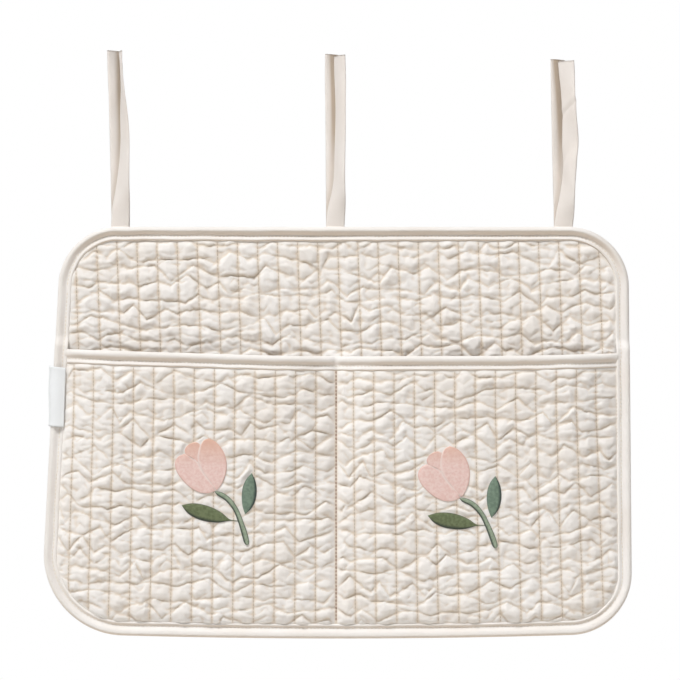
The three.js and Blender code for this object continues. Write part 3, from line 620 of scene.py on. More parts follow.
# The stem's last pair puts painted shade along its lower left side.
STEM_FLOSS = floss_material("stem_floss", (164, 178, 154), (130, 146, 124), (46, 60, 52), 0.62, 0.9, (0.42, 0.16))
# Each leaf: pale and deep floss, a rim colour that is partly painted shade, where the rim starts and its share, and
# its side with painted shade: the low leaf's lower side, the high leaf's right side.
LEAF_LOOKS = {
    "leaf_low": ((118, 129, 92), (86, 98, 66), (44, 54, 46), 0.88, 0.7, (0.24, 0.08)),
    "leaf_high": ((126, 148, 128), (98, 120, 104), (46, 60, 56), 0.88, 0.7, (0.76, 0.92)),
}
LEAF_FLOSS = {leaf: floss_material(f"{leaf}_floss", *look) for leaf, look in LEAF_LOOKS.items()}


# ---- lines
def length_along(points):
    """How far along a line each of its points lies."""
    return np.concatenate([[0], np.cumsum(np.linalg.norm(np.diff(points, axis=0), axis=1))])


def resample(path, step=None, count=None):
    """Points at an even step along a path, or a number of them from end to end."""
    path = np.asarray(path, float)
    length = length_along(path)
    at = np.arange(0, length[-1], step) if step else np.linspace(0, length[-1], count)
    return np.stack([np.interp(at, length, column) for column in path.T], -1)


def spline(points, count):
    """A smooth line through section points, evenly spaced."""
    points = np.asarray(points, float)
    padded = np.vstack([2 * points[0] - points[1], points, 2 * points[-1] - points[-2]])
    out = []
    for p0, p1, p2, p3 in zip(padded, padded[1:], padded[2:], padded[3:]):
        for t in np.arange(8) / 8:
            bend = (2 * p0 - 5 * p1 + 4 * p2 - p3) * t**2
            out.append(0.5 * (2 * p1 + (p2 - p0) * t + bend + (3 * p1 - p0 - 3 * p2 + p3) * t**3))
    return resample(out + [points[-1]], count=count)


def normals_along(line):
    """Unit vectors square to a line of section points, at each of them."""
    tangent = np.gradient(line, axis=0)
    tangent /= np.linalg.norm(tangent, axis=1)[:, None]
    return np.stack([tangent[:, 1], -tangent[:, 0]], -1)


def through(rows, count):
    """Rows of numbers resampled on a smooth line through them, by their first number."""
    rows = np.array(rows, float)
    at = np.linspace(0, 1, count)
    out = [at]
    for k in range(1, rows.shape[1]):
        t, v = rows[:, 0], rows[:, k]
        slope = np.gradient(v, t)
        j = np.clip(np.searchsorted(t, at, side="right") - 1, 0, len(t) - 2)
        h = t[j + 1] - t[j]
        u = (at - t[j]) / h
        out.append(
            (2 * u**3 - 3 * u**2 + 1) * v[j]
            + (u**3 - 2 * u**2 + u) * h * slope[j]
            + (-2 * u**3 + 3 * u**2) * v[j + 1]
            + (u**3 - u**2) * h * slope[j + 1]
        )
    return np.stack(out, -1)


def curve_through(points, count):
    points = np.array(points, float)
    length = length_along(points)
    rows = np.column_stack([length / length[-1], points])
    return through(rows, count)[:, 1:]


def turned(points, degrees):
    a = math.radians(degrees)
    return points @ np.array([[math.cos(a), math.sin(a)], [-math.sin(a), math.cos(a)]])


def wander(count, smoothness, seed):
    """Smooth noise along a line of stations."""
    raw = np.random.default_rng(seed).standard_normal(count)
    f = np.fft.fftfreq(count) * smoothness * 2 * math.pi
    out = np.real(np.fft.ifft(np.fft.fft(raw) * np.exp(-0.5 * f**2)))
    return out / out.std()


# ---- embroidery, its outlines
TULIPS = [("left", -106.2, -224.3, 0.0), ("right", 104.6, -230.1, 4.4)]
PETALS = {
    "petal_mid": (
        [(-15.5, 25), (-20.5, 28.6), (-25.8, 31.2), (-27.0, 34.6), (-24.6, 39.2), (-19.8, 41.9)],
        [(-15.5, 25), (-15.6, 31), (-14.0, 36.5), (-13.2, 40.2), (-15.6, 41.9), (-19.8, 41.9)],
        0.55,
    ),
    "petal_left": (
        [
            (-0.6, 0.4), (-7.2, -1.7), (-14.5, -1.0), (-21.4, 2.4), (-29.2, 9.6), (-34.4, 17.8),
            (-35.3, 24), (-32.6, 29.3), (-27.2, 31.9),
        ],
        [
            (-0.6, 0.4), (-3.0, 6.0), (-8.0, 12.0), (-12.3, 18.4), (-15.2, 24.2), (-17.6, 26.6),
            (-21.4, 28.6), (-24.4, 30.4), (-27.2, 31.9),
        ],
        0.65,
    ),
    "petal_right": (
        [
            (0.3, 0.8), (-2.6, 4.8), (-8.2, 12.0), (-12.8, 18.6), (-15.6, 26.0), (-15.4, 33.0),
            (-13.4, 40.0), (-10.6, 44.0), (-6.4, 45.6),
        ],
        [
            (0.3, 0.8), (3.2, 3.9), (6.6, 10.2), (8.8, 17.6), (9.1, 24.6), (7.4, 32.2), (3.8, 38.6),
            (-0.6, 43.0), (-6.4, 45.6),
        ],
        0.75,
    ),
}
STEM = (
    [
        (-1.4, 0.1), (0.2, -2.4), (8.0, -7.8), (14.3, -15.4), (18.9, -26.6), (22.6, -39.6), (23.8, -43.6),
        (25.3, -45.7), (26.6, -46.2),
    ],
    [
        (-1.4, 0.1), (1.9, 0.1), (11.6, -5.0), (18.2, -13.6), (23.4, -25.8), (27.9, -40.2), (28.4, -43.4),
        (27.8, -45.4), (26.6, -46.2),
    ],
    1.2,
)
LEAVES = {
    "leaf_low": (
        [
            (-29.8, -12.4), (-25.2, -18.6), (-17.8, -23.4), (-8.2, -26.2), (1.4, -26.9), (13.2, -25.1),
            (18.6, -25.6),
        ],
        [
            (-29.8, -12.4), (-21.8, -10.8), (-12.4, -11.4), (-3.0, -14.2), (5.4, -18.8), (12.4, -24.2),
            (18.6, -25.0),
        ],
        1.2,
    ),
    "leaf_high": (
        [(24.8, -19.4), (22.6, -12.0), (22.0, -3.2), (23.4, 5.4), (26.4, 11.6), (30.8, 16.3)],
        [(24.8, -19.4), (30.2, -14.4), (33.9, -6.6), (34.9, 1.6), (33.8, 9.6), (30.8, 16.3)],
        1.2,
    ),
}


def distance_beyond(x, z, outline):
    """How far places lie outside a closed outline, 0 inside it."""
    nearest = np.full(x.shape, 99.0)
    odd = np.zeros(x.shape, bool)
    for (ax, az), (bx, bz) in zip(outline, np.roll(outline, -1, 0)):
        dx, dz = bx - ax, bz - az
        t = np.clip(((x - ax) * dx + (z - az) * dz) / (dx * dx + dz * dz + 1e-9), 0, 1)
        nearest = np.minimum(nearest, np.hypot(x - ax - t * dx, z - az - t * dz))
        crosses = (az > z) != (bz > z)
        odd ^= crosses & (x < ax + (z - az) * dx / (dz if dz else 1e-9))
    return np.where(odd, 0, nearest)


def pressed(x, z, height):
    """The quilt's height, held down under the embroidery."""
    height = height.copy()
    for _, base_x, base_z, turn in TULIPS:
        block = (np.abs(x - base_x) < 50) & (np.abs(z - base_z) < 60)
        near = np.full(int(block.sum()), 99.0)
        for left, right, _ in [*PETALS.values(), STEM, *LEAVES.values()]:
            loop = turned(np.vstack([curve_through(left, 24), curve_through(right, 24)[::-1]]), turn)
            near = np.minimum(near, distance_beyond(x[block] - base_x, z[block] - base_z, loop))
        hold = smooth01(1 - (near - 0.5) / 3.5)
        height[block] = lerp(height[block], 0.8 + 0.12 * height[block], hold)
    return height


# ---- quilted panels
QUILT_EDGE = 4.0
POCKET_TOP = 2.5
DIVIDER_SHADE = 1.0
DIVIDER_SHADE_WIDTH = 1.3
LEAN_SHIFT, LEAN_RATE = 0.9, 0.035
FAN_START, FAN_REACH, FAN_RATE, FAN_SHIFT = 150, 165, 0.024, -2.4


def seat(x, z, edge):
    """Grid places inside an edge, the ones just outside moved onto it."""
    inset, out = inset_at(x, z)
    shift = np.minimum(0, inset - edge)
    return x + out[..., 0] * shift, z + out[..., 1] * shift, inset


def freedom(x, z):
    """How far a stitch line may leave its grid column: not at the sides, and fully at the top and bottom."""
    inset, out = inset_at(x, z)
    return smooth01((inset - QUILT_EDGE) / (7 + 15 * out[..., 0] ** 2))


def leaning(x, z):
    """The back panel's stitch lines lean to the right on their way down to the pocket mouth."""
    return x + LEAN_SHIFT + LEAN_RATE * np.clip(-z, 0, -MOUTH_LEFT_Z)


def fanned(x, z):
    """The pocket's stitch lines spread on their way down. The right ones start closer to the divider."""
    share = np.clip((-z - FAN_START) / FAN_REACH, 0, 1.2)
    closer = FAN_SHIFT * (1 - 0.5 * share) * smooth01((x - DIVIDER_X) / CHANNEL_PITCH)
    return x + closer + FAN_RATE * share * (x - DIVIDER_X)


def quilt_places(inside, lines):
    """Where the quilt's grid places lie: moved with the cloth and its stitch lines, and inside the edge."""
    x = np.where(inside, lerp(QX, lines(QX, Z), freedom(X, Z)), X)
    return seat(x, np.where(inside, QZ, Z), QUILT_EDGE)


def held_by_binding(inset):
    return smooth01((inset - BINDING_WIDTH + 2.5) / 6.5)


def lining_dent(press):
    """The stitches draw the lining toward the face."""
    return 0.85 * (1 - np.clip(QH / 2.2, 0, 1)) * press


def back_quilt():
    inside = inset_at(X, Z)[0] > QUILT_EDGE
    x, z, inset = quilt_places(inside, leaning)
    press = held_by_binding(inset) * lerp(1, 0.8, smooth01((mouth_z(X) - Z) / 20))
    front = np.stack([x, -(STACK + np.maximum(QH * press, LOWEST)), z], -1)
    back = np.stack([x, -lining_dent(press), z], -1)[::2, ::2]
    piece = closed_sheet("back_quilt", hang(front), hang(back), inside, QUILT, PAINTED_SHADE * press)
    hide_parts("back_face", "back_wadding", "back_lining")
    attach(piece, "root")
    return front, back, inside


def slack_line(x):
    z = (MOUTH_LEFT_Z - PANEL_HEIGHT) / 2
    start = np.where(x < DIVIDER_X, left_x(z, BINDING_WIDTH), DIVIDER_X)
    end = np.where(x < DIVIDER_X, DIVIDER_X, right_x(z, BINDING_WIDTH))
    return smooth01(np.minimum(x - start, end - x) / SLACK_RAMP)


def pocket_base(x, z):
    """Distance of the pocket panel's back from the lining's back."""
    inset = inset_at(x, z)[0]
    seams = np.minimum(np.abs(x - DIVIDER_X) / (0.6 * CHANNEL_PITCH), (inset - BINDING_WIDTH) / 10)
    room = np.sin(np.clip(seams, 0, 1) * math.pi / 2)
    top = mouth_z(x) - MOUTH_WIDTH - SEAM_RAMP
    low = SEAM_RAMP + BINDING_WIDTH - PANEL_HEIGHT
    share = np.clip((z - low) / (top - low), 0, 1)
    slack = slack_line(x) * lerp(SLACK_AT_BOTTOM, 1, share) * smooth01((inset - BINDING_WIDTH) / 12)
    return POCKET_SEAM + CROWN * room + POCKET_SLACK * slack


def pocket_quilt():
    inside = (inset_at(X, Z)[0] > QUILT_EDGE) & (Z < mouth_z(X) - POCKET_TOP)
    x, z, inset = quilt_places(inside, fanned)
    z = np.minimum(z, mouth_z(x) - POCKET_TOP)
    near_mouth = smooth01((mouth_z(x) - MOUTH_WIDTH + 2 - z) / 7)
    near_divider = smooth01(np.abs(x - DIVIDER_X) / 6)
    press = held_by_binding(inset) * near_mouth * lerp(0.35, 1, near_divider)
    base = pocket_base(x, z)
    front = np.stack([x, -(base + STACK + pressed(x, z, QH * press)), z], -1)
    back = np.stack([x, -(base + lining_dent(press)), z], -1)[::2, ::2]
    # Painted shade, with more of it along the divider seam.
    crease = np.maximum(PAINTED_SHADE * press, DIVIDER_SHADE * bell(x - DIVIDER_X, DIVIDER_SHADE_WIDTH))
    piece = closed_sheet("pocket_quilt", hang(front), hang(back), inside, QUILT, crease)
    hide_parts("pocket_face", "pocket_wadding", "pocket_lining")
    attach(piece, "root")
    return front, inside


BACK_FRONT, BACK_BACK, BACK_INSIDE = back_quilt()
POCKET_FRONT, POCKET_INSIDE = pocket_quilt()

# ---- stitches
# A stitch's rings: how far along it, the share of its width, and how high. Its sizes: length, gap, width.
RINGS = [(0.0, 0.35, -0.2), (0.14, 0.85, 0.04), (0.5, 1.0, 0.24), (0.86, 0.85, 0.04), (1.0, 0.35, -0.2)]
SIDES = 6
FRONT_OUT = (0, -1, 0)
BACK_OUT = (0, 1, 0)
QUILTING = (2.8, 0.35, 0.58)
DIVIDER = (2.9, 0.3, 1.3)
DIVIDER_UNDER = (2.8, 0.35, 0.75)
TOPSTITCH = (2.4, 0.9, 0.6)
ROOT_STITCH = (1.9, 0.6, 0.55)


def stitch_mesh(name, runs, out, sizes, material):
    """Short raised stitches along paths in millimetres, on the side of the cloth that out points to."""
    length, gap, width = sizes
    up = np.asarray(out, float)
    share = length / (length + gap) * 4
    after = int(math.floor(share))
    points, faces = [], []
    for path in runs:
        even = resample(path, (length + gap) / 4)
        for k in range(0, len(even) - 5, 4):
            start, end = even[k], lerp(even[k + after], even[k + after + 1], share - after)
            along = end - start
            size = np.linalg.norm(along)
            if size < 0.3 * length:
                continue
            side = np.cross(along / size, up)
            side /= np.linalg.norm(side)
            index = len(points) + np.arange(len(RINGS) * SIDES).reshape(-1, SIDES)
            for t, girth, lift in RINGS:
                centre = lerp(start, end, t) + up * lift
                for s in range(SIDES):
                    a = 2 * math.pi * s / SIDES
                    points.append(centre + width / 2 * girth * (side * math.cos(a) + up * 0.8 * math.sin(a)))
            faces += swept_faces(index) + [index[0, ::-1], index[-1]]
    return mesh_object(name, hang(np.array(points)), faces, material)


def place_stitches(name, runs, out, material, replaced=None, sizes=QUILTING):
    piece = stitch_mesh(name, runs, out, sizes, material)
    if replaced:
        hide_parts(replaced)
    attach(piece, "root")


def clear_of_binding(path):
    return inset_at(path[:, 0], path[:, 2])[0] > BINDING_WIDTH


def quilting_runs(surface, inside, in_pocket=False):
    """The stitch lines of a quilted surface, from binding to binding."""
    runs = []
    coarser = (COLUMNS - 1) // (surface.shape[1] - 1)
    for column in range(0, surface.shape[1], CELLS // coarser):
        path = surface[:, column]
        kept = inside[::coarser, column * coarser] & clear_of_binding(path)
        if in_pocket:
            kept &= path[:, 2] < mouth_z(path[:, 0]) - MOUTH_WIDTH - 0.5
        if kept.sum() > 8 and not (in_pocket and column == DIVIDER_COLUMN):
            runs.append(path[kept])
    return runs


def divider_seam():
    front = POCKET_FRONT[:, DIVIDER_COLUMN]
    front = front[clear_of_binding(front) & (front[:, 2] < mouth_z(DIVIDER_X) - MOUTH_WIDTH)]
    place_stitches("divider_seam", [front], FRONT_OUT, DIVIDER_THREAD, "divider_seam_front", DIVIDER)
    depth = [np.interp(DIVIDER_X, row[:, 0], row[:, 1]) for row in BACK_BACK]
    back = np.stack([np.full(len(depth), DIVIDER_X), depth, BACK_BACK[:, DIVIDER_COLUMN // 2, 2]], -1)
    back = back[clear_of_binding(back) & (back[:, 2] < mouth_z(DIVIDER_X))] + np.array([0.9, 0, 0])
    place_stitches("divider_seam_under", [back], BACK_OUT, THREAD, "divider_seam_back", DIVIDER_UNDER)


place_stitches("back_quilting", quilting_runs(BACK_FRONT, BACK_INSIDE), FRONT_OUT, THREAD)
place_stitches("lining_quilting", quilting_runs(BACK_BACK, BACK_INSIDE), BACK_OUT, THREAD)
place_stitches("pocket_quilting", quilting_runs(POCKET_FRONT, POCKET_INSIDE, True), FRONT_OUT, THREAD)
divider_seam()

# ---- bindings
GROOVE_INSET = 3.9
GROOVE_WIDTH = 1.8
TAPE_THICK = 0.7
SECTION_POINTS = 46
ROLL_SHAPE = [(0.3, 0.26), (1.0, 0.62), (1.9, 0.88), (2.9, 1)]
GROOVE_SHAPE = [(-3.6, 0.87), (-2.4, 0.58), (-1.3, 0.24), (-0.5, 0.04), (0, 0)]
GROOVE_SHAPE += [(0.8, 0.12), (1.8, 0.38), (2.8, 0.5), (3.4, 0.42)]
EDGE_ROLL = 3.4
MOUTH_ROLL = 2.7


def outline_stations(step):
    """Places round the outline and the way out there, clockwise from the top left."""
    places, normals = [], []
    for k, (centre, radius, first, second) in enumerate(CORNERS):
        a0 = math.atan2(first[1], first[0])
        turn = (math.atan2(second[1], second[0]) - a0) % (2 * math.pi) - 2 * math.pi
        count = max(2, int(abs(turn) * radius / step))
        for j in range(count):
            a = a0 + turn * j / count
            normal = np.array([math.cos(a), math.sin(a)])
            places.append(centre + radius * normal)
            normals.append(normal)
        start = centre + radius * second
        following, following_radius, _, _ = CORNERS[(k + 1) % 4]
        end = following + following_radius * second
        count = int(np.linalg.norm(end - start) / step)
        for j in range(count):
            places.append(lerp(start, end, j / count))
            normals.append(second)
    return np.array(places), np.array(normals)


def tape_line(width, back, front, roll):
    """The folded tape's outer line: [inset, depth] from its inner edge at the back round to the front."""
    groove = width - GROOVE_INSET
    behind = [(width, 0.3), (width - 0.6, -0.25), (width - 2.6, -0.35), (width - 5, -0.9), (3, -0.8), (0.8, 0.1)]
    line = [[inset, back + depth] for inset, depth in behind] + [[0.0, lerp(back, front, 0.5)]]
    line += [[inset, front + rise * roll] for inset, rise in ROLL_SHAPE]
    line += [[groove + inset, front + rise * roll] for inset, rise in GROOVE_SHAPE]
    return line + [[width - 0.1, front + 0.2 * roll], [width + 0.2, front - 0.2]]


def tape_section(width, back, front, roll):
    """The tape's outer and inner line, and how far the outer one's points lie from the groove's inset."""
    outer = spline(tape_line(width, back, front, roll), SECTION_POINTS)
    inner = outer + TAPE_THICK * normals_along(outer)
    return outer, inner, outer[:, 0] - (width - GROOVE_INSET)


def nearest_groove(from_groove, wrong_side):
    return int(np.argmin(np.abs(from_groove) + 50 * wrong_side))


def slot_front(x, z):
    start = mouth_z(x) + BINDING_WIDTH + 0.3
    t = smooth01((start - z) / (BINDING_WIDTH - 2))
    return lerp(STACK + 0.3, POCKET_SEAM + STACK + 0.3, t)


def swept_tape(name, sections, ring):
    """A tape's shell over its stations. A section is its outer and its inner points in millimetres."""
    sections = np.array(sections)
    count, _, across = sections.shape[:3]
    loop = np.concatenate([sections[:, 0], sections[:, 1, ::-1]], axis=1)
    around = loop.shape[1]
    index = np.arange(count * around).reshape(count, around)
    faces = swept_faces(np.vstack([index, index[:1]]) if ring else index)
    if not ring:
        first, last = index[0], index[-1]
        for k in range(across - 1):
            faces.append([first[k + 1], first[k], first[around - 1 - k], first[around - 2 - k]])
            faces.append([last[k], last[k + 1], last[around - 2 - k], last[around - 1 - k]])
    piece = mesh_object(name, hang(loop.reshape(-1, 3)), faces, TAPE)
    # Painted shade: the tape's down-facing sides get a deeper tone through the crease attribute.
    down = -np.array([normal.vector[2] for normal in piece.data.vertex_normals])
    add_attribute(piece, "crease", np.clip(1.1 * down, 0, 1))
    return piece


def edge_binding():
    places, normals = outline_stations(1.8)
    count = len(places)
    pucker, lip = wander(count, 3.2, 21), wander(count, 2.4, 22)
    swell, waver = wander(count, 16, 23), wander(count, 30, 24)
    sections, groove_front, groove_back = [], [], []
    for k in range(count):
        (px, pz), (nx, nz) = places[k], normals[k]
        front = float(slot_front(px, pz))
        width = BINDING_WIDTH + 0.18 * waver[k] + 0.10 * lip[k] + 1.1 * max(-nz, 0) ** 2
        roll = EDGE_ROLL * (1 + 0.05 * swell[k]) * (1 - 0.38 * nx**2)
        outer, inner, from_groove = tape_section(width, -0.2, front, roll)
        on_front = outer[:, 1] > front
        push = 0.16 * pucker[k] * bell(from_groove, GROOVE_WIDTH) + 0.07 * lip[k] * (outer[:, 0] / width)
        for line in (outer, inner):
            line[:, 1] += np.where(on_front, push, -0.6 * push * (outer[:, 1] < 0))
        place = [np.stack([px - nx * u, -v, pz - nz * u], -1) for u, v in (outer.T, inner.T)]
        sections.append(place)
        groove_front.append(place[0][nearest_groove(from_groove, ~on_front)])
        groove_back.append(place[0][nearest_groove(from_groove, outer[:, 1] > 0)])
    piece = swept_tape("edge_binding_tape", sections, True)
    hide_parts("edge_binding")
    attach(piece, "root")
    place_stitches("edge_stitches", [groove_front], FRONT_OUT, TAPE_THREAD, "edge_topstitch_front", TOPSTITCH)
    place_stitches("edge_stitches_under", [groove_back], BACK_OUT, TAPE_THREAD, "edge_topstitch_back", TOPSTITCH)


def pocket_binding():
    xs = np.arange(left_x(MOUTH_LEFT_Z, 9.2), right_x(MOUTH_LEFT_Z, 9.2), 1.6)
    count = len(xs)
    pucker, lip, waver = wander(count, 3.4, 31), wander(count, 2.4, 32), wander(count, 28, 33)
    sections, groove = [], []
    for k, x in enumerate(xs):
        top = float(mouth_z(x)) + 0.2 * waver[k]
        base = float(pocket_base(np.array([x]), np.array([top - MOUTH_WIDTH]))[0])
        end = float(smooth01(min(x - xs[0], xs[-1] - x) / 9))
        roll = MOUTH_ROLL * lerp(0.55, 1, end) * (1 - 0.5 * float(bell(x - DIVIDER_X, 2.4)))
        outer, inner, from_groove = tape_section(MOUTH_WIDTH + 0.12 * lip[k], 0.1, STACK + 0.2, roll)
        on_front = outer[:, 1] > STACK
        for line in (outer, inner):
            line[:, 1] += np.where(on_front, 0.15 * pucker[k] * bell(from_groove, GROOVE_WIDTH), 0)
        place = [np.stack([np.full(len(u), x), -(base + v), top - u], -1) for u, v in (outer.T, inner.T)]
        sections.append(place)
        groove.append(place[0][nearest_groove(from_groove, ~on_front)])
    piece = swept_tape("pocket_binding_tape", sections, False)
    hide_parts("pocket_binding")
    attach(piece, "root")
    place_stitches("pocket_stitches", [groove], FRONT_OUT, TAPE_THREAD, "pocket_topstitch", TOPSTITCH)


edge_binding()
pocket_binding()

# ---- ties
# A tail's rows: share of its length, way aside in tape widths, and twist in degrees.
# Its crease: share of the length, and depth.
TIE_WIDTH = 16
TIE_THICKNESS = 1.1
TIE_ACROSS = 23
TIE_STATIONS = 110
TIE_GROOVE = 0.76
TIE_ROOT_DEPTH = 8
TIE_ROOT_RISE = 2.2
TIE_ROOT_BACK = 1.3
TIE_ROOT_ACROSS = 21
TIE_FRONT_Y = -0.2
TIE_BACK_Y = 3.4
TAIL_BASE_Z = -0.3
SHADE_BESIDE = 1.5
TIES = [
    {
        "name": "left",
        "x": -190.4,
        "length": 150.3,
        "cup": (1.1, 1.6),
        "front": [
            (0, 0, 0), (0.067, 0.03, 8), (0.226, 0.14, 38), (0.486, 0.28, 57), (0.745, 0.175, 71),
            (1, 0.045, 82),
        ],
        "back": [
            (0, 0, 0), (0.067, 0, 4), (0.226, -0.04, 15), (0.486, -0.125, 30), (0.745, -0.225, 40),
            (1, -0.34, 47),
        ],
    },
    {
        "name": "middle",
        "x": -3.8,
        "length": 147,
        "cup": (1.4, 1.2),
        "front": [
            (0, 0, 0), (0.068, 0.04, 8), (0.204, 0.15, 40), (0.442, 0.225, 54), (0.633, 0.26, 58),
            (1, 0.22, 55),
        ],
        "back": [(0, 0, 0), (0.068, 0, 3), (0.395, -0.02, 12), (1, -0.1, 32)],
    },
    {
        "name": "right",
        "x": 194.3,
        "length": 142.5,
        "cup": (0.9, 1.3),
        "crease": (0.715, 0.9),
        "front": [
            (0, 0, 0), (0.056, 0.05, 10), (0.154, 0.13, 33), (0.337, 0.255, 40), (0.533, 0.33, 34),
            (0.66, 0.275, 42), (1, 0.095, 36),
        ],
        "back": [(0, 0, 0), (0.07, 0, 4), (0.512, -0.125, 25), (1, -0.225, 32)],
    },
]


def rounded_edge(across):
    return np.sqrt(np.clip(1 - np.abs(across) ** 14, 0, 1))


def tape_profile(cup):
    """A folded tape's closed section, [across, forward]: round edges, a stitched groove by the open edge."""
    across = np.linspace(-1, 1, TIE_ACROSS)
    groove = 0.16 * bell(across - TIE_GROOVE, 0.07)
    swell = TIE_THICKNESS / 2 * (rounded_edge(across) * (1 + 0.22 * bell(across + 0.93, 0.12)) - groove)
    bend = cup * (across**2 - 0.4)
    front = np.stack([across * TIE_WIDTH / 2, bend - swell], -1)
    back = np.stack([across * TIE_WIDTH / 2, bend + swell], -1)
    return np.concatenate([front, back[::-1][1:-1]])


def shade_beside_front(tie, points):
    """How deep the shade is on a back tail, beside the front tail's edge and more toward the top."""
    share, aside, twist = through(tie["front"], TIE_STATIONS).T
    edge = tie["x"] + (aside - 0.5 * np.cos(np.radians(twist))) * TIE_WIDTH
    reach = lerp(0.3, 1, smooth01((share - 0.3) / 0.5))
    return SHADE_BESIDE * bell(points[:, :, 0] - edge[:, None] + 0.6, 3) * reach[:, None]


def tie_tail(tie, side):
    name, behind = tie["name"], side == "back"
    way = 1 if behind else -1
    hinge_y = TIE_BACK_Y if behind else TIE_FRONT_Y
    length = tie["length"] + (1.2 if behind else -1.6)
    seed = 40 + 2 * TIES.index(tie) + behind
    shiver, flutter = wander(TIE_STATIONS, 9, seed), wander(TIE_STATIONS, 14, seed + 20)
    points = []
    for k, (share, aside, twist) in enumerate(through(tie[side], TIE_STATIONS)):
        free = float(smooth01(share * length / 30))
        angle = way * math.radians(twist + 2.2 * shiver[k] * free)
        along = np.array([math.cos(angle), math.sin(angle)])
        normal = np.array([-math.sin(angle), math.cos(angle)])
        section = tape_profile(tie["cup"][behind] * free * (1 + 0.25 * flutter[k]))
        across = section[:, 0] / (TIE_WIDTH / 2)
        dent = 0.28 * free * flutter[k] * np.cos(across * 2.2 + 0.7 * shiver[k])
        if "crease" in tie and not behind:
            at, depth = tie["crease"]
            off = share * length - at * length - 5.5 * across
            dent = dent + depth * np.exp(-np.abs(off) / 2.2) - 0.5 * depth * bell(off - 5, 3.5)
        middle_y = hinge_y + way * (TIE_WIDTH / 2 * math.sin(math.radians(twist)))
        centre = np.array([tie["x"] + aside * TIE_WIDTH, middle_y])
        place = centre + section[:, :1] * along + (section[:, 1] + dent)[:, None] * normal
        height = TAIL_BASE_Z + share * (length + TIE_ROOT_RISE + 0.3 - TAIL_BASE_Z)
        points.append(np.column_stack([place, np.full(len(place), height)]))
    points = np.array(points)
    faces = tube_faces(*points.shape[:2], TIE_ACROSS)
    piece = mesh_object(f"tie_{name}_{side}_tape", hang(points), faces, TIE_TAPE)
    # Painted shadow of the front tail on the back tail, through the crease attribute.
    if behind:
        add_attribute(piece, "crease", shade_beside_front(tie, points).ravel())
    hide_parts(f"tie_tail_{name}_{side}")
    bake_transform(piece)


def tie_root(tie):
    """The tie's caught middle: a tab on the binding's back, folded over its top, with a box of stitches."""
    name, x, back = tie["name"], tie["x"], TIE_ROOT_BACK
    tab = [[back + 0.5, -TIE_ROOT_DEPTH], [back + 0.55, -4], [back + 0.5, -0.5], [back + 0.2, 1.0]]
    line = spline(tab + [[1.0, 1.45], [0.4, 1.1], [0.15, 0.3]], 26)
    across = np.linspace(-1, 1, TIE_ROOT_ACROSS)
    thick = TIE_THICKNESS / 2 * rounded_edge(across)
    profile = np.concatenate([np.stack([across, thick], -1), np.stack([across, -thick], -1)[::-1][1:-1]])
    side = x + profile[:, 0] * TIE_WIDTH / 2
    points = np.array([np.column_stack([side, p + profile[:, 1:] * n]) for p, n in zip(line, normals_along(line))])
    faces = tube_faces(*points.shape[:2], TIE_ROOT_ACROSS)
    piece = mesh_object(f"tie_{name}_root_tape", hang(points), faces, TIE_TAPE)
    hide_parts(f"tie_root_{name}")
    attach(piece, "root")
    y = back + 0.5 + TIE_THICKNESS / 2
    w = TIE_WIDTH / 2 - 1.6
    box_run = np.array([[x + cx, y, cz] for cx, cz in [(-w, -1.2), (w, -1.2), (w, -6.6), (-w, -6.6), (-w, -1.2)]])
    runs = [box_run[k : k + 2] for k in range(4)]
    place_stitches(f"tie_{name}_root_stitches", runs, BACK_OUT, TAPE_THREAD, sizes=ROOT_STITCH)


for tie in TIES:
    tie_root(tie)
    tie_tail(tie, "front")
    tie_tail(tie, "back")

# ---- side label
LABEL_TOP_Z = -121
LABEL_LENGTH = 51
LABEL_THICKNESS = 0.4
LABEL_REACH = 11.3
LABEL_PROUD = 3.2
LABEL_LEAN = 2.3
LABEL_FRONT = POCKET_SEAM + STACK + 0.3 + EDGE_ROLL + 0.35
LABEL_BACK = -1.2 - 0.35
LABEL_ROWS = 36
LABEL_LINE = [
    [LABEL_REACH, LABEL_FRONT - 1.5],
    [LABEL_REACH - 1.6, LABEL_FRONT - 0.9],
    [5.5, LABEL_FRONT + 0.1],
    [1.6, LABEL_FRONT - 0.3],
    [-1.4, LABEL_FRONT - 2.0],
    [-2.8, LABEL_FRONT - 4.2],
    [-LABEL_PROUD, (LABEL_FRONT + LABEL_BACK) / 2],
    [-2.6, LABEL_BACK + 1.8],
    [-0.6, LABEL_BACK + 0.2],
    [4.0, LABEL_BACK - 0.5],
    [LABEL_REACH, LABEL_BACK + 0.1],
]


def side_label():
    line = spline(LABEL_LINE, 44)
    normal = normals_along(line)
    sway, swell = wander(LABEL_ROWS, 5, 61), wander(LABEL_ROWS, 8, 62)
    share = np.linspace(0, 1, len(line))
    arch = np.sin(share * math.pi)
    outer, inner = [], []
    for k in range(LABEL_ROWS):
        t = k / (LABEL_ROWS - 1)
        off = 0.22 * sway[k] * arch + 0.25 * swell[k] * np.sin(share * 2 * math.pi)
        mid = line + normal * (off + 0.35 * (abs(2 * t - 1) ** 6) * arch)[:, None]
        mid[:, 0] += LABEL_LEAN * (t - 0.25) * lerp(1, 0.45, np.clip(line[:, 0] / LABEL_REACH, 0, 1))
        z = LABEL_TOP_Z - LABEL_LENGTH * t - 0.5 * arch * (2 * t - 1)
        for way, store in ((1, outer), (-1, inner)):
            u, v = (mid + normal * way * LABEL_THICKNESS / 2).T
            store.append(np.stack([left_x(z) - LEFT_NORMAL[0] * u, -v, z - LEFT_NORMAL[1] * u], -1))
    points = hang([outer, inner])
    piece = mesh_object("side_label_ribbon", points, layered_faces(LABEL_ROWS, len(line)), LABEL)
    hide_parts("side_label")
    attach(piece, "root")


side_label()

# ---- embroidery
ACROSS_COUNT = 21
RIDGE = 0.05
RIDGE_PITCH = 0.8
SUNK = 0.5
UNDER = 1.1


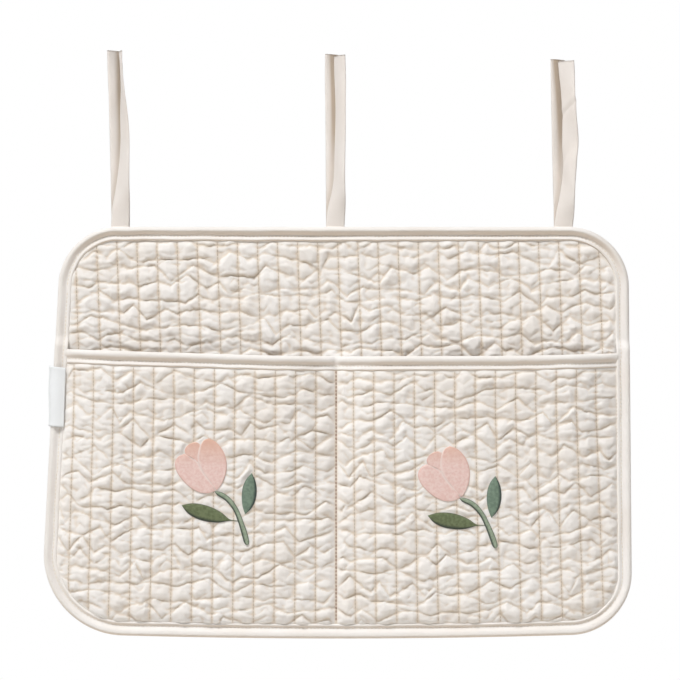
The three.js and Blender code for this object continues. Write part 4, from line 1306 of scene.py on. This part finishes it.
def embroidered(name, left, right, rise, tulip, material, replaced, count=60, lift=0.0, roundness=0.45, joined=None):
    """A satin-stitched shape between two edge lines: domed, its edges sunk into the cloth."""
    _, base_x, base_z, turn = tulip
    a = turned(curve_through(left, count), turn)
    b = turned(curve_through(right, count), turn)
    t = (1 - np.cos(np.linspace(0, math.pi, ACROSS_COUNT))) / 2
    flat = a[:, None] * (1 - t)[None, :, None] + b[:, None] * t[None, :, None]
    width = np.linalg.norm(b - a, axis=1)
    dome = np.clip(4 * t * (1 - t), 0, 1) ** roundness
    taper = np.clip(width / (0.42 * width.max()), 0, 1) ** 0.7
    along = length_along((a + b) / 2)
    ridge = RIDGE * np.sin(along[:, None] / RIDGE_PITCH * 2 * math.pi + 3 * t[None, :])
    height = (rise * dome[None, :] + ridge * dome[None, :]) * taper[:, None]
    x, z = base_x + flat[..., 0], base_z + flat[..., 1]
    ground = pocket_base(x, z) + STACK + EMBROIDERY_GROUND + lift
    points = hang([np.stack([x, -y, z], -1) for y in (ground - SUNK + height, ground - UNDER)]).reshape(-1, 3)
    piece = mesh_object(name, points, layered_faces(*x.shape), material)
    bm = bmesh.new()
    bm.from_mesh(piece.data)
    bmesh.ops.remove_doubles(bm, verts=bm.verts, dist=0.00002)
    bmesh.ops.recalc_face_normals(bm, faces=bm.faces)
    nearest = [int(np.argmin(((points - np.array(v.co[:])) ** 2).sum(1))) for v in bm.verts]
    bm.to_mesh(piece.data)
    bm.free()
    side = np.tile(t, count)
    attributes = {
        "edge": np.abs(2 * side - 1),
        "side": side,
        "run": np.repeat(along, ACROSS_COUNT),
        "meeting": {None: 0 * side, "left": 1 - side, "right": side}[joined],
    }
    for key, values in attributes.items():
        add_attribute(piece, key, np.concatenate([values, values])[nearest])
    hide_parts(replaced)
    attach(piece, "root")
    return piece


PETAL_STEP = 0.12
PETAL_LOOK = {"count": 56, "roundness": 0.22}
for tulip in TULIPS:
    prefix = f"tulip_{tulip[0]}"
    for k, (petal, outline) in enumerate(PETALS.items()):
        look = {**PETAL_LOOK, "lift": PETAL_STEP * k, "joined": "left" if petal == "petal_right" else "right"}
        piece = embroidered(f"{prefix}_{petal}", *outline, tulip, BLOOM, f"{prefix}_bloom", **look)
    stem = embroidered(f"{prefix}_stem_stitch", *STEM, tulip, STEM_FLOSS, f"{prefix}_stem")
    for leaf, outline in LEAVES.items():
        piece = embroidered(f"{prefix}_{leaf}_stitch", *outline, tulip, LEAF_FLOSS[leaf], f"{prefix}_{leaf}")

# ---- floor
FLOOR_Z = -0.9
FLOOR_CORNERS = [[-3, -2.4, FLOOR_Z], [3, -2.4, FLOOR_Z], [3, 2.2, FLOOR_Z], [-3, 2.2, FLOOR_Z]]
floor_material, tree, surface = new_material("floor")
floor_tone = tree.mix(tree.noise(tree.coordinates(), 3), linear(246, 244, 241), linear(240, 237, 233))
tree.feed(surface["Base Color"], floor_tone)
surface["Roughness"].default_value = 0.7
floor = mesh_object("floor", FLOOR_CORNERS, [[0, 1, 2, 3]], floor_material)
